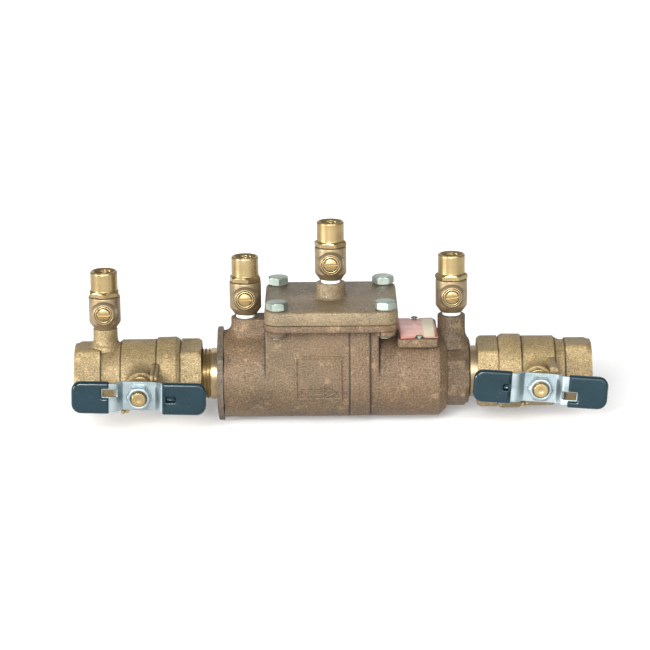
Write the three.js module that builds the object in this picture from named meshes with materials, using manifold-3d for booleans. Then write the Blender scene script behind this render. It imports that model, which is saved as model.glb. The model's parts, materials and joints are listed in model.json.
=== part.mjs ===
// A 1-inch double check valve backflow preventer: a bronze body with two spring-loaded checks under a
// bolted cover, a quarter-turn ball valve at each end and four test cocks.
// Millimetres. +X runs with the flow, from the inlet face at x = 0. +Z is up. The valve stems face -Y.

import * as THREE from 'three';
import { mergeVertices } from 'three/addons/utils/BufferGeometryUtils.js';
import Module from 'manifold-3d';

const wasm = await Module();
wasm.setup();

// ---------------------------------------------------------------- driving dimensions

const OVERALL_LENGTH = 337;
const GAP = 0.3; // clearance between pieces that touch
const PIPE_RADIUS = 16.7; // 1-inch pipe thread
const SOCKET_RADIUS = PIPE_RADIUS + GAP;
const SOCKET_DEPTH = 17;
const WATERWAY_RADIUS = 12.5;
const BARREL_ROUND = 32; // sides of the main body's barrel
const ROUND = 20; // sides of a large turned piece
const SMALL_ROUND = 12; // sides of a small one
const CHECK_ROUND = 16; // sides of the pieces of a check
const FINE_BORE = 8; // sides of a narrow bore

const VALVE = {
  hexFlats: 39.6, hexLength: 17.3, hexChamfer: 4, neckRadius: 20.3, shoulder: 2.6,
  chamberRadius: 23, ringRadius: 24.4, ringStart: 9.7, bevelStart: 22, bevelDepth: 1.9,
  cavityRadius: 19.2, pocketRadius: 17.3, pocketStart: 16.3, pocketEnd: 10.5, lipStart: 11.5,
  adapterFlats: 41, bossFoot: 13.5, bossRadius: 10, bossFront: 30,
};
const BALL = { radius: 18.5, slotWidth: 4.6, slotLength: 15, slotDepth: 14.6 };
const SEAT = { outer: 17, inner: 12.6, back: 16, front: 10.9, frontInner: 15.4, lip: 14.1 };
const STEM = {
  radius: 4.87, hole: 5.3, tangWidth: 4, tangLength: 12, tangTip: 15,
  shoulderRadius: 7, shoulderStart: 18.9, shoulderEnd: 20.9, pocketRadius: 7.4, pocketEnd: 21.3, end: 57,
};
const PACKING = { start: 23.5, end: 27.7, bore: 7.6 };
const GLAND = { flats: 16, shankStart: 28, headStart: 30.4, end: 35 };
const HANDLE = {
  width: 18.7, thickness: 2.4, back: 46.3, joggle: 5.3, bendStart: 11, bendEnd: 15.5, arm: 41.4, corner: 5,
  nutFlats: 14.3, nutHeight: 6.4,
};
const OPEN_SLOT = { near: -14.5, far: -23.2, low: 0.6, high: 5.7 };
const LINED_SLOT = { near: 17.2, far: 23.7, low: -2.2, high: 1.8 };
const GRIP = { width: 21.3, thickness: 5, arm: 43, corner: 6.2, slotInset: 0.7, film: 1.1 };
const STOP_LUG = {
  near: 9.75, inner: 6.8, low: 8.4, far: 11.8, high: 12.6, behindPlate: 44.6, tip: 48.2, foot: 16,
};

const INLET_VALVE = {
  name: 'inlet', faceToStem: 44.1, chamberStart: 13.5, bevelEnd: 25, adapterEnd: 38.6,
  adapterTurn: 6.5, roll: 1.5, handleTurn: 1.6, openGrip: 18.9, linedGrip: 14.9, tapped: true,
};
const OUTLET_VALVE = {
  name: 'outlet', faceToStem: 36.3, chamberStart: 12, bevelEnd: 24.5, adapterEnd: 38,
  adapterTurn: -13, roll: -2.1, handleTurn: 4.4, openGrip: 17.5, linedGrip: 18.6, tapped: false,
};

const BODY = {
  start: 97.5, radius: 28.6, coneStart: 237.6,
  hexStart: 242.9, hexRadius: 23.5, end: 257, hexChamfer: 3.2,
  riserStart: 124.7, riserEnd: 198.3, flangeBottom: 37.3, flangeTop: 42, bossRadius: 6.6, bossBottom: 34,
  bandStart: 179.5, bandEnd: 192.5, bandProud: 1.4,
  inletBore: 24.3, inletBoreEnd: 107.5, chamberBore: 22.5, centreBore: 24.5, web: 5, cartridgeBore: 19.5,
  outletChamberEnd: 236,
};
const COVER = {
  centre: 167.5, side: 86, corner: 10, bottom: 42.3, top: 51.2, chamfer: 1.2,
  bossTop: 61.1, footHeight: 2.4, boltOffset: 34.7,
};
const OPENING = { halfX: 28.5, halfY: 22.5, corner: 9 };
const COVER_SEAL = { gapToOpening: 3.2, width: 2.4, bottom: 40.3, top: 42 };
const BOLT = {
  radius: 3.9, hole: 4.3, flats: 12.7, headHeight: 4.8, washerRadius: 6.1, washer: 0.5, tip: 32.2,
};
const PLUG = { start: 93.4, end: 97.2, radius: 32.3, shankRadius: 24, shankEnd: 106.5, chamfer: 2.6 };
const PLUG_SEAL = { start: 99.3, end: 101.7, inner: 22.1, outer: 24 };
const PAD = { start: 210.3, end: 236.7, halfWidth: 27, top: 28.8, thickness: 6 };
const TAG = { width: 24.6, length: 51, thickness: 0.6, turn: 2, notch: 3.4 };
const DRIVE_SCREW = { offset: 24.2, radius: 1.3, head: 2.3, hole: 1.7, depth: 4 };

const CHECK_WEBS = [121, 198];
const CHECK = {
  flangeRadius: 22, flange: 2.5, sleeveRadius: 19.2, sleeve: 6, bore: 12.8, lipRadius: 14.4, lip: 1.2,
  discRadius: 15.8, disc: 3, plateRadius: 16.2, plate: 2.5, noseRadius: 5.5, nose: 2,
  stemRadius: 3, stemEnd: 34.6,
  cageInner: 16.6, cageRing: 2, hubStart: 31, hub: 2.5, hubRadius: 7, hubHole: 3.4, legWidth: 5, legs: 3,
  coilRadius: 9, wireRadius: 0.8, coils: 5,
};

const COCK = {
  cone: 4, coneRadius: 7.55, radius: 10.35, bodyTop: 21.5, collarFlats: 18.7, collarTop: 25.5,
  barrel: 8.85, top: 38.1, port: 6.5, portDepth: 10.5, threadRadius: 5.3, threadLength: 9.3,
  hole: 5.8, waterway: 2.8, shank: 6.5, shankBottom: 18,
  plugHeight: 11.7, bossRadius: 8.15, bossFront: 13.1, plugRadius: 5.4, plugBack: 6.2, plugShoulder: 10.5,
  stemRadius: 4.1, stemFront: 13.7, slotWidth: 1.3, slotDepth: 1.2, thread: 2.3,
};
// Each test cock: its place along the pipe, the top of the boss that it screws into, how much of its
// thread shows, and how far its slotted plug is turned.
const COCKS = [
  { x: 20, bossTop: 31.9, shown: GAP, turn: 0, bossRadius: 7.9, foot: 9.2 },
  { x: 111.8, bossTop: 38.5, shown: COCK.thread, turn: 0, bossRadius: 9.5, foot: 10.6 },
  { x: COVER.centre, bossTop: COVER.bossTop, shown: COCK.thread, turn: 0, bossRadius: 9.45, foot: 11 },
  { x: 246, bossTop: 38.8, shown: COCK.thread, turn: 8, bossRadius: 9, foot: 11.4 },
];

// ---------------------------------------------------------------- materials

const finish = (color, roughness, metalness) => ({ color, roughness, metalness });
const BRONZE = finish(0xa58a69, 0.6, 0.75);
const VALVE_BRONZE = finish(0xbda67c, 0.55, 0.75);
const BRASS = finish(0xcbb27b, 0.3, 0.95);
const PLATED_STEEL = finish(0xc0cfca, 0.35, 0.9);
const ZINC = finish(0xaab4a8, 0.45, 0.85);
const VINYL = finish(0x27495a, 0.4, 0);
const CHROME = finish(0xd5d8da, 0.12, 1);
const PTFE = finish(0xe8e8e2, 0.5, 0);
const RUBBER = finish(0x24262a, 0.8, 0);
const PLASTIC = finish(0x3a3d42, 0.5, 0);
const SPRING_STEEL = finish(0xb5b8ba, 0.3, 1);
const TAG_METAL = finish(0xc8a095, 0.4, 0.5);

// ---------------------------------------------------------------- shapes

const radians = THREE.MathUtils.degToRad;

function signedVolume(position, index) {
  const [a, b, c] = [new THREE.Vector3(), new THREE.Vector3(), new THREE.Vector3()];
  let sum = 0;
  for (let i = 0; i < index.length; i += 3) {
    a.fromArray(position, 3 * index[i]);
    b.fromArray(position, 3 * index[i + 1]);
    c.fromArray(position, 3 * index[i + 2]);
    sum += a.dot(b.cross(c));
  }
  return sum;
}

// A closed geometry as a solid: shared vertices merged, pinched triangles dropped, faces turned outward.
function solid(geometry) {
  geometry.deleteAttribute('normal');
  geometry.deleteAttribute('uv');
  const merged = mergeVertices(geometry, 1e-4);
  const vertProperties = merged.attributes.position.array;
  const kept = [];
  for (let i = 0; i < merged.index.count; i += 3) {
    const [a, b, c] = merged.index.array.slice(i, i + 3);
    if (a !== b && b !== c && c !== a) kept.push(a, b, c);
  }
  if (signedVolume(vertProperties, kept) < 0) kept.reverse();
  return new wasm.Manifold(new wasm.Mesh({ numProp: 3, vertProperties, triVerts: new Uint32Array(kept) }));
}

// Turns a profile of [place along the axis, radius] points about an axis: 'x', 'z' or 'front', which is -Y.
function turnedGeometry(axis, profile, sides) {
  const points = profile.map(([along, radius]) => new THREE.Vector2(radius, along));
  points.push(points[0].clone());
  const geometry = new THREE.LatheGeometry(points, sides);
  if (axis === 'x') geometry.rotateZ(-Math.PI / 2);
  if (axis === 'z') geometry.rotateX(Math.PI / 2);
  if (axis === 'front') geometry.rotateX(Math.PI);
  return geometry;
}

function turned(axis, profile, sides = ROUND) {
  return solid(turnedGeometry(axis, profile, sides));
}

function rod(axis, from, to, radius, sides = SMALL_ROUND) {
  return turned(axis, [[from, 0], [from, radius], [to, radius], [to, 0]], sides);
}

function tube(axis, from, to, outer, inner, sides = SMALL_ROUND) {
  return turned(axis, [[from, inner], [from, outer], [to, outer], [to, inner]], sides);
}

function block(x, y, z) {
  const geometry = new THREE.BoxGeometry(x[1] - x[0], y[1] - y[0], z[1] - z[0]);
  geometry.translate((x[0] + x[1]) / 2, (y[0] + y[1]) / 2, (z[0] + z[1]) / 2);
  return solid(geometry);
}

// A hexagonal bar along an axis. A cone turned round each chamfered end takes off the corners there.
function hexBar(axis, from, to, acrossFlats, options = {}) {
  const { turn = 0, chamferFrom = 0, chamferTo = 0, slope = 0.6 } = options;
  const corner = acrossFlats / Math.sqrt(3);
  const geometry = turnedGeometry(axis, [[from, 0], [from, corner], [to, corner], [to, 0]], 6);
  if (axis === 'x') geometry.rotateX(radians(turn));
  if (axis === 'z') geometry.rotateZ(radians(turn));
  if (axis === 'front') geometry.rotateY(radians(turn));
  const middle = (from + to) / 2;
  const cone = (end, chamfer) => {
    const clear = corner + slope * Math.abs(middle - end) - slope * chamfer;
    if (chamfer === 0) return [[end, 2 * corner], [middle, 2 * corner]];
    return [[end, corner - slope * chamfer], [middle, clear]];
  };
  const profile = [[from, 0], ...cone(from, chamferFrom), ...cone(to, chamferTo).reverse(), [to, 0]];
  const sides = acrossFlats > 2 * PIPE_RADIUS ? ROUND : SMALL_ROUND;
  return solid(geometry).intersect(turned(axis, profile, sides));
}

function roundedRectangle(halfX, halfY, corner) {
  const shape = new THREE.Shape();
  shape.absarc(halfX - corner, halfY - corner, corner, 0, Math.PI / 2);
  shape.absarc(corner - halfX, halfY - corner, corner, Math.PI / 2, Math.PI);
  shape.absarc(corner - halfX, corner - halfY, corner, Math.PI, 1.5 * Math.PI);
  shape.absarc(halfX - corner, corner - halfY, corner, 1.5 * Math.PI, 2 * Math.PI);
  return shape;
}

// A flat outline given a thickness between two heights.
function slab(shape, bottom, top, curveSegments = 3) {
  const options = { depth: top - bottom, bevelEnabled: false, curveSegments };
  const geometry = new THREE.ExtrudeGeometry(shape, options);
  geometry.translate(0, 0, bottom);
  return geometry;
}

// An outline in X and Z given a thickness from one distance in front of the pipe axis to another.
function frontSlab(shape, near, far) {
  const geometry = slab(shape, near, far);
  geometry.rotateX(Math.PI / 2);
  return solid(geometry);
}

const root = new THREE.Group();

function piece(parent, name, shape, { color, roughness, metalness }) {
  const { vertProperties, triVerts } = shape.getMesh();
  const geometry = new THREE.BufferGeometry();
  geometry.setAttribute('position', new THREE.BufferAttribute(vertProperties, 3));
  geometry.setIndex(new THREE.BufferAttribute(triVerts, 1));
  geometry.computeVertexNormals();
  const mesh = new THREE.Mesh(geometry, new THREE.MeshStandardMaterial({ color, roughness, metalness }));
  mesh.name = name;
  parent.add(mesh);
  return mesh;
}

// ---------------------------------------------------------------- ball valves
// Each valve is drawn in its own frame: its end face at x = 0, its adapter towards +X, its stem towards -Y.

function cockBoss({ bossTop, bossRadius, foot }, start, footTop) {
  const side = [[start, foot], [footTop, bossRadius], [bossTop, bossRadius]];
  return turned('z', [[start, 0], ...side, [bossTop, 0]], 16);
}

function cockPort({ bossTop, shown }, bottom) {
  const depth = COCK.threadLength - shown + 1;
  const drilling = rod('z', bottom, bossTop, COCK.waterway, FINE_BORE);
  return rod('z', bossTop - depth, bossTop + 1, COCK.hole).add(drilling);
}

function stopLug() {
  const { near, inner, low, far, high, behindPlate, tip, foot } = STOP_LUG;
  const post = block([inner, far], [-behindPlate, -foot], [low, high]);
  return post.add(block([near, far], [-tip, -foot], [near, high]));
}

function valveBody(valve) {
  const v = VALVE;
  const stem = valve.faceToStem;
  const chamber = stem - valve.chamberStart;
  const end = stem + valve.bevelEnd;
  const outside = [
    [v.hexLength - 1, 0], [v.hexLength - 1, v.neckRadius], [chamber - v.shoulder, v.neckRadius],
    [chamber, v.chamberRadius], [stem + v.ringStart, v.chamberRadius], [stem + v.ringStart, v.ringRadius],
    [stem + v.bevelStart, v.ringRadius], [end, v.ringRadius - v.bevelDepth], [end, 0],
  ];
  const cavity = [
    [stem - v.pocketStart, 0], [stem - v.pocketStart, v.pocketRadius], [stem - v.pocketEnd, v.pocketRadius],
    [stem - v.pocketEnd, v.cavityRadius], [end + 1, v.cavityRadius], [end + 1, 0],
  ];
  const boss = turned('front', [
    [10, 0], [10, v.bossFoot + 2], [v.chamberRadius - 1, v.bossFoot], [v.bossFront - 3.5, v.bossRadius],
    [v.bossFront, v.bossRadius], [v.bossFront, 0],
  ]).translate([stem, 0, 0]);
  let shape = turned('x', outside)
    .add(hexBar('x', 0, v.hexLength, v.hexFlats, { turn: 30, chamferFrom: v.hexChamfer, chamferTo: 1 }))
    .add(boss)
    .add(stopLug().translate([stem, 0, 0]))
    .add(stopLug().rotate([0, 180, 0]).translate([stem, 0, 0]));
  const [cock] = COCKS;
  if (valve.tapped) {
    shape = shape.add(cockBoss(cock, WATERWAY_RADIUS + 4, 25).translate([cock.x, 0, 0]));
  }
  shape = shape
    .subtract(turned('x', cavity))
    .subtract(rod('x', -1, SOCKET_DEPTH, SOCKET_RADIUS, ROUND))
    .subtract(rod('x', SOCKET_DEPTH - 1, stem, WATERWAY_RADIUS, ROUND))
    .subtract(rod('front', 10, STEM.pocketEnd, STEM.pocketRadius).translate([stem, 0, 0]))
    .subtract(rod('front', 10, v.bossFront + 1, STEM.hole).translate([stem, 0, 0]))
    .subtract(rod('front', PACKING.start, v.bossFront + 1, PACKING.bore).translate([stem, 0, 0]));
  if (valve.tapped) {
    shape = shape.subtract(cockPort(cock, WATERWAY_RADIUS - 3).translate([cock.x, 0, 0]));
  }
  return shape;
}

function valveAdapter(valve) {
  const v = VALVE;
  const stem = valve.faceToStem;
  const shoulder = stem + valve.bevelEnd + GAP;
  const end = stem + valve.adapterEnd;
  const options = { turn: 30 + valve.adapterTurn, chamferFrom: 0.5, chamferTo: 2.7 };
  return rod('x', stem + v.lipStart, shoulder + 1, v.cavityRadius - GAP, ROUND)
    .add(hexBar('x', shoulder, end, v.adapterFlats, options))
    .subtract(rod('x', stem, stem + v.pocketStart, v.pocketRadius, ROUND))
    .subtract(rod('x', stem, end, WATERWAY_RADIUS, ROUND))
    .subtract(rod('x', end - SOCKET_DEPTH, end + 1, SOCKET_RADIUS, ROUND));
}

function ball() {
  const { radius, slotWidth, slotLength, slotDepth } = BALL;
  const half = [slotWidth / 2, slotLength / 2];
  return solid(new THREE.SphereGeometry(radius, 16, 10))
    .subtract(rod('x', -radius - 1, radius + 1, WATERWAY_RADIUS - 0.5, 16))
    .subtract(block([-half[0], half[0]], [-radius - 1, -slotDepth], [-half[1], half[1]]));
}

function ballSeat(side) {
  const { outer, inner, back, front, frontInner, lip } = SEAT;
  const profile = [[back, inner], [back, outer], [front, outer], [front, frontInner], [lip, inner]];
  return turned('x', profile.map(([along, radius]) => [side * along, radius]), ROUND);
}

function valveStem() {
  const { radius, tangWidth, tangLength, tangTip, shoulderRadius, shoulderStart, shoulderEnd, end } = STEM;
  const half = [tangWidth / 2, tangLength / 2];
  return rod('front', shoulderStart, end - 0.8, radius)
    .add(turned('front', [[end - 1, 0], [end - 1, radius], [end, radius - 0.8], [end, 0]], SMALL_ROUND))
    .add(rod('front', shoulderStart, shoulderEnd, shoulderRadius))
    .add(block([-half[0], half[0]], [-shoulderStart - 1, -tangTip], [-half[1], half[1]]));
}

function glandNut() {
  return tube('front', GLAND.shankStart, GLAND.headStart + 1, PACKING.bore - GAP, STEM.hole)
    .add(hexBar('front', GLAND.headStart, GLAND.end, GLAND.flats, { chamferTo: 1 }))
    .subtract(rod('front', GLAND.shankStart - 1, GLAND.end + 1, STEM.hole));
}

// The plate's edge line seen from above: flat behind the nut, and stepped forward in each wing.
function handleOutline(clearance, arm) {
  const { thickness, back, joggle, bendStart, bendEnd } = HANDLE;
  const near = back - clearance;
  const far = back + thickness + clearance;
  const half = [[arm, near + joggle], [bendEnd, near + joggle], [bendStart, near]];
  const front = [[bendStart, far], [bendEnd, far + joggle], [arm, far + joggle]];
  const left = ([x, y]) => [-x, y];
  const loop = [...half, ...[...half].reverse().map(left), ...[...front].reverse().map(left), ...front];
  return new THREE.Shape(loop.map(([x, y]) => new THREE.Vector2(x, -y)));
}

function bentPlate(clearance, arm, width, corner) {
  const profile = solid(slab(handleOutline(clearance, arm), -width / 2, width / 2));
  return profile.intersect(frontSlab(roundedRectangle(arm, width / 2, corner), 0, STEM.end + 20));
}

function slotCut({ near, far, low, high }, inset, stop = HANDLE.back - 5) {
  const x = [Math.min(near, far) + inset, Math.max(near, far) - inset];
  return block(x, [-STEM.end - 20, -stop], [low + inset, high - inset]);
}

function handlePlate() {
  const { arm, width, corner } = HANDLE;
  return bentPlate(0, arm, width, corner)
    .subtract(rod('front', HANDLE.back - 1, STEM.end, STEM.hole - 0.1))
    .subtract(slotCut(OPEN_SLOT, 0))
    .subtract(slotCut(LINED_SLOT, -GAP - GRIP.slotInset));
}

// One vinyl sleeve: side is -1 for the wing with the open slot and +1 for the one whose slot the vinyl
// lines and closes at the back with a film.
function grip(side, start) {
  const { width, thickness, arm, corner, film } = GRIP;
  const back = HANDLE.back + HANDLE.joggle + (HANDLE.thickness - thickness) / 2;
  const sleeve = frontSlab(roundedRectangle(arm, width / 2, corner), back, back + thickness);
  const reach = side > 0 ? [start, arm + 1] : [-arm - 1, -start];
  const half = block(reach, [-STEM.end - 20, 0], [-width, width]);
  const pocket = bentPlate(GAP, HANDLE.arm + GAP, HANDLE.width + 2 * GAP, HANDLE.corner);
  const slot = side > 0 ? slotCut(LINED_SLOT, 0, back + film) : slotCut(OPEN_SLOT, -GAP);
  return sleeve.intersect(half).subtract(pocket).subtract(slot);
}

function handleNut() {
  const start = HANDLE.back + HANDLE.thickness + GAP;
  return hexBar('front', start, start + HANDLE.nutHeight, HANDLE.nutFlats, { turn: 0, chamferTo: 1.2 })
    .subtract(rod('front', start - 1, STEM.end, STEM.hole - 0.1));
}

function addValve(parent, valve) {
  const { name, faceToStem, handleTurn } = valve;
  const fixed = new THREE.Group();
  const centred = new THREE.Group();
  const turning = new THREE.Group();
  centred.position.x = faceToStem;
  turning.rotation.y = radians(handleTurn);
  parent.add(fixed);
  fixed.add(centred);
  centred.add(turning);
  piece(fixed, `${name}_valve_body`, valveBody(valve), VALVE_BRONZE);
  piece(fixed, `${name}_valve_adapter`, valveAdapter(valve), VALVE_BRONZE);
  piece(centred, `${name}_ball_seat_outer`, ballSeat(-1), PTFE);
  piece(centred, `${name}_ball_seat_inner`, ballSeat(1), PTFE);
  const packing = tube('front', PACKING.start + GAP, PACKING.end, PACKING.bore - GAP, STEM.hole);
  piece(centred, `${name}_stem_packing`, packing, PTFE);
  piece(centred, `${name}_gland_nut`, glandNut(), BRASS);
  piece(turning, `${name}_ball`, ball(), CHROME);
  piece(turning, `${name}_stem`, valveStem(), BRASS);
  piece(turning, `${name}_handle`, handlePlate(), PLATED_STEEL);
  piece(turning, `${name}_grip_open_slot`, grip(-1, valve.openGrip), VINYL);
  piece(turning, `${name}_grip_lined_slot`, grip(1, valve.linedGrip), VINYL);
  piece(turning, `${name}_handle_nut`, handleNut(), PLATED_STEEL);
}

// ---------------------------------------------------------------- nipples, body and cover

function nipple(from, to) {
  return tube('x', from, to, PIPE_RADIUS, WATERWAY_RADIUS + 0.7, ROUND);
}

function atCorners(shape) {
  const offset = COVER.boltOffset;
  const places = [[-1, -1], [1, -1], [1, 1], [-1, 1]];
  return places.map(([i, j]) => shape.translate([COVER.centre + i * offset, j * offset, 0]));
}

function coverPlate(bottom, top, shrink = 0) {
  const half = COVER.side / 2 - shrink;
  const outline = roundedRectangle(half, half, COVER.corner - shrink);
  return solid(slab(outline, bottom, top)).translate([COVER.centre, 0, 0]);
}

function openingCut(grow, bottom, top) {
  const { halfX, halfY, corner } = OPENING;
  const outline = roundedRectangle(halfX + grow, halfY + grow, corner + grow);
  return solid(slab(outline, bottom, top)).translate([COVER.centre - 2, 0, 0]);
}

function sealRing(clearance) {
  const { gapToOpening, width, bottom, top } = COVER_SEAL;
  const inner = openingCut(gapToOpening - clearance, bottom - clearance - 1, top + 1);
  return openingCut(gapToOpening + width + clearance, bottom - clearance, top).subtract(inner);
}

function mainBodyOutside() {
  const b = BODY;
  const barrel = turned('x', [
    [b.start, 0], [b.start, b.radius], [b.coneStart, b.radius], [b.hexStart, b.hexRadius],
    [b.hexStart + 1, b.hexRadius], [b.hexStart + 1, 0],
  ], BARREL_ROUND);
  const chamfer = { chamferTo: b.hexChamfer, slope: 1 };
  const hex = hexBar('x', b.hexStart, b.end, b.hexRadius * Math.sqrt(3), chamfer);
  const riser = block([b.riserStart, b.riserEnd], [-b.radius, b.radius], [0, b.flangeTop - 1]);
  const bandRing = rod('x', b.bandStart, b.bandEnd, b.radius + b.bandProud, BARREL_ROUND)
    .intersect(block([b.bandStart, b.bandEnd], [-40, 40], [-40, 0]));
  const side = b.radius + b.bandProud;
  const bandSides = block([b.bandStart, b.bandEnd], [-side, side], [-0.5, b.flangeBottom + 1]);
  const flange = coverPlate(b.flangeBottom, b.flangeTop);
  let shape = barrel.add(hex).add(riser).add(bandRing).add(bandSides).add(flange);
  for (const boss of atCorners(rod('z', b.bossBottom, b.flangeTop - 1, b.bossRadius))) {
    shape = shape.add(boss);
  }
  const [, second, , fourth] = COCKS;
  const reach = second.bossRadius;
  const web = block([second.x, b.riserStart + 1], [-reach, reach], [20, second.bossTop]);
  const { start, end, halfWidth, top, thickness } = PAD;
  const pad = block([start, end], [-halfWidth, halfWidth], [top - thickness, top]);
  return shape.add(web).add(pad)
    .add(cockBoss(second, 24, 30.5).translate([second.x, 0, 0]))
    .add(cockBoss(fourth, 18, 27).translate([fourth.x, 0, 0]));
}

function mainBody() {
  const b = BODY;
  const [firstWeb, secondWeb] = CHECK_WEBS;
  const [, second, , fourth] = COCKS;
  let shape = mainBodyOutside()
    .subtract(rod('x', b.start - 1, b.inletBoreEnd, b.inletBore, ROUND))
    .subtract(rod('x', b.inletBoreEnd - 1, firstWeb, b.chamberBore, ROUND))
    .subtract(rod('x', firstWeb - 1, secondWeb + b.web + 1, b.cartridgeBore, ROUND))
    .subtract(rod('x', firstWeb + b.web, secondWeb, b.centreBore, ROUND))
    .subtract(rod('x', secondWeb + b.web, b.outletChamberEnd, b.chamberBore, ROUND))
    .subtract(rod('x', b.outletChamberEnd - 1, b.end, WATERWAY_RADIUS + 1, ROUND))
    .subtract(rod('x', b.end - SOCKET_DEPTH, b.end + 1, SOCKET_RADIUS, ROUND))
    .subtract(openingCut(0, 0, b.flangeTop + 1))
    .subtract(sealRing(GAP).translate([0, 0, 0.2]))
    .subtract(cockPort(second, b.chamberBore - 3).translate([second.x, 0, 0]))
    .subtract(cockPort(fourth, WATERWAY_RADIUS - 2).translate([fourth.x, 0, 0]));
  for (const hole of atCorners(rod('z', b.bossBottom - 1, b.flangeTop + 1, BOLT.hole))) {
    shape = shape.subtract(hole);
  }
  const { depth, hole } = DRIVE_SCREW;
  for (const place of screwPlaces()) {
    const drilling = rod('z', PAD.top - depth - 1, PAD.top + 1, hole, FINE_BORE);
    shape = shape.subtract(drilling.translate(place));
  }
  return shape;
}

function inletPlug() {
  const p = PLUG;
  const flats = p.radius * Math.sqrt(3);
  const { start, end, inner } = PLUG_SEAL;
  const groove = tube('x', start - GAP, end + GAP, p.shankRadius + 1, inner - GAP, ROUND);
  return hexBar('x', p.start, p.end, flats, { chamferFrom: p.chamfer, slope: 1.4 })
    .add(rod('x', p.end - 1, p.shankEnd, p.shankRadius, ROUND))
    .subtract(groove)
    .subtract(rod('x', p.start - 1, p.shankEnd + 1, SOCKET_RADIUS, ROUND));
}

function cover() {
  const c = COVER;
  const third = COCKS[2];
  const boss = cockBoss(third, c.top - 1, c.top + c.footHeight).translate([c.centre, 0, 0]);
  let shape = coverPlate(c.bottom, c.top - c.chamfer)
    .add(coverPlate(c.top - c.chamfer - 0.5, c.top, c.chamfer * 0.6))
    .add(boss)
    .subtract(cockPort(third, c.bottom - 1).translate([c.centre, 0, 0]));
  for (const hole of atCorners(rod('z', c.bottom - 1, c.top + 1, BOLT.hole))) {
    shape = shape.subtract(hole);
  }
  return shape;
}

function coverBolt() {
  const seat = COVER.top + GAP;
  const head = seat + BOLT.washer;
  return rod('z', BOLT.tip, seat + 1, BOLT.radius)
    .add(rod('z', seat, head + 0.5, BOLT.washerRadius))
    .add(hexBar('z', head, head + BOLT.headHeight, BOLT.flats, { chamferTo: 1.1 }));
}

// ---------------------------------------------------------------- checks

class SpringPath extends THREE.Curve {
  constructor(start, end) {
    super();
    this.start = start;
    this.end = end;
  }

  getPoint(t, target = new THREE.Vector3()) {
    const angle = 2 * Math.PI * CHECK.coils * t;
    const along = this.start + (this.end - this.start) * t;
    return target.set(along, CHECK.coilRadius * Math.cos(angle), CHECK.coilRadius * Math.sin(angle));
  }
}

function checkSpring(start, end) {
  const wire = new THREE.Shape();
  wire.absarc(0, 0, CHECK.wireRadius, 0, 2 * Math.PI);
  const extrudePath = new SpringPath(start, end);
  return solid(new THREE.ExtrudeGeometry(wire, { steps: CHECK.coils * 9, curveSegments: 2, extrudePath }));
}

function addCheck(parent, number, web) {
  const c = CHECK;
  const group = new THREE.Group();
  group.position.x = web;
  parent.add(group);
  const disc = c.sleeve + c.lip + GAP;
  const plate = disc + c.disc + GAP;
  const plateEnd = plate + c.plate;
  const cageStart = c.sleeve + GAP;
  const flangeStart = -c.flange - GAP;
  const seat = turned('x', [
    [flangeStart, c.bore], [flangeStart, c.flangeRadius], [-GAP, c.flangeRadius],
    [-GAP, c.sleeveRadius], [c.sleeve, c.sleeveRadius], [c.sleeve, c.lipRadius],
    [c.sleeve + c.lip, c.lipRadius], [c.sleeve + c.lip, c.bore],
  ], CHECK_ROUND);
  const nose = disc - GAP;
  const poppet = turned('x', [
    [nose - c.nose, 0], [nose - c.nose, c.noseRadius], [nose, c.noseRadius], [nose, c.stemRadius],
    [plate, c.stemRadius], [plate, c.plateRadius], [plateEnd, c.plateRadius],
    [plateEnd, c.stemRadius], [c.stemEnd, c.stemRadius], [c.stemEnd, 0],
  ], CHECK_ROUND);
  const washer = tube('x', disc, disc + c.disc, c.discRadius, c.stemRadius + GAP, CHECK_ROUND);
  const cageEnd = c.hubStart + c.hub;
  let cage = tube('x', cageStart, cageStart + c.cageRing, c.sleeveRadius, c.cageInner, CHECK_ROUND)
    .add(tube('x', c.hubStart, cageEnd, c.sleeveRadius, c.cageInner, CHECK_ROUND))
    .add(tube('x', c.hubStart, cageEnd, c.hubRadius, c.hubHole, SMALL_ROUND));
  const legShell = tube('x', cageStart, cageEnd, c.sleeveRadius, c.cageInner, CHECK_ROUND);
  for (let leg = 0; leg < c.legs; leg += 1) {
    const turn = [leg * 360 / c.legs, 0, 0];
    const half = c.legWidth / 2;
    const strip = block([cageStart, cageEnd], [-half, half], [0, 30]).rotate(turn);
    const spoke = block([c.hubStart, cageEnd], [-half, half], [c.hubHole + 1.5, c.cageInner + 1]);
    cage = cage.add(legShell.intersect(strip)).add(spoke.rotate(turn));
  }
  piece(group, `check_${number}_seat`, seat, BRASS);
  piece(group, `check_${number}_disc`, washer, RUBBER);
  piece(group, `check_${number}_poppet`, poppet, PLASTIC);
  piece(group, `check_${number}_cage`, cage, PLASTIC);
  const wireClear = c.wireRadius + GAP;
  const spring = checkSpring(plateEnd + wireClear, c.hubStart - wireClear);
  piece(group, `check_${number}_spring`, spring, SPRING_STEEL);
}

// ---------------------------------------------------------------- test cocks

function cockBody() {
  const c = COCK;
  const atPlug = [0, 0, c.plugHeight];
  const side = [[0, c.coneRadius], [c.cone, c.radius], [c.bodyTop, c.radius]];
  const plugBore = rod('front', -c.plugBack - GAP, c.plugShoulder + GAP, c.plugRadius + GAP);
  return turned('z', [[0, 0], ...side, [c.bodyTop, 0]], 16)
    .add(rod('front', 0, c.bossFront, c.bossRadius, 16).translate(atPlug))
    .add(rod('z', -c.threadLength, 1, c.threadRadius))
    .subtract(rod('z', -c.threadLength - 1, c.bodyTop, c.waterway, FINE_BORE))
    .subtract(rod('z', c.shankBottom - GAP, c.bodyTop + 1, c.shank + GAP))
    .subtract(plugBore.translate(atPlug))
    .subtract(rod('front', 0, c.bossFront + 1, c.stemRadius + GAP).translate(atPlug));
}

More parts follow.
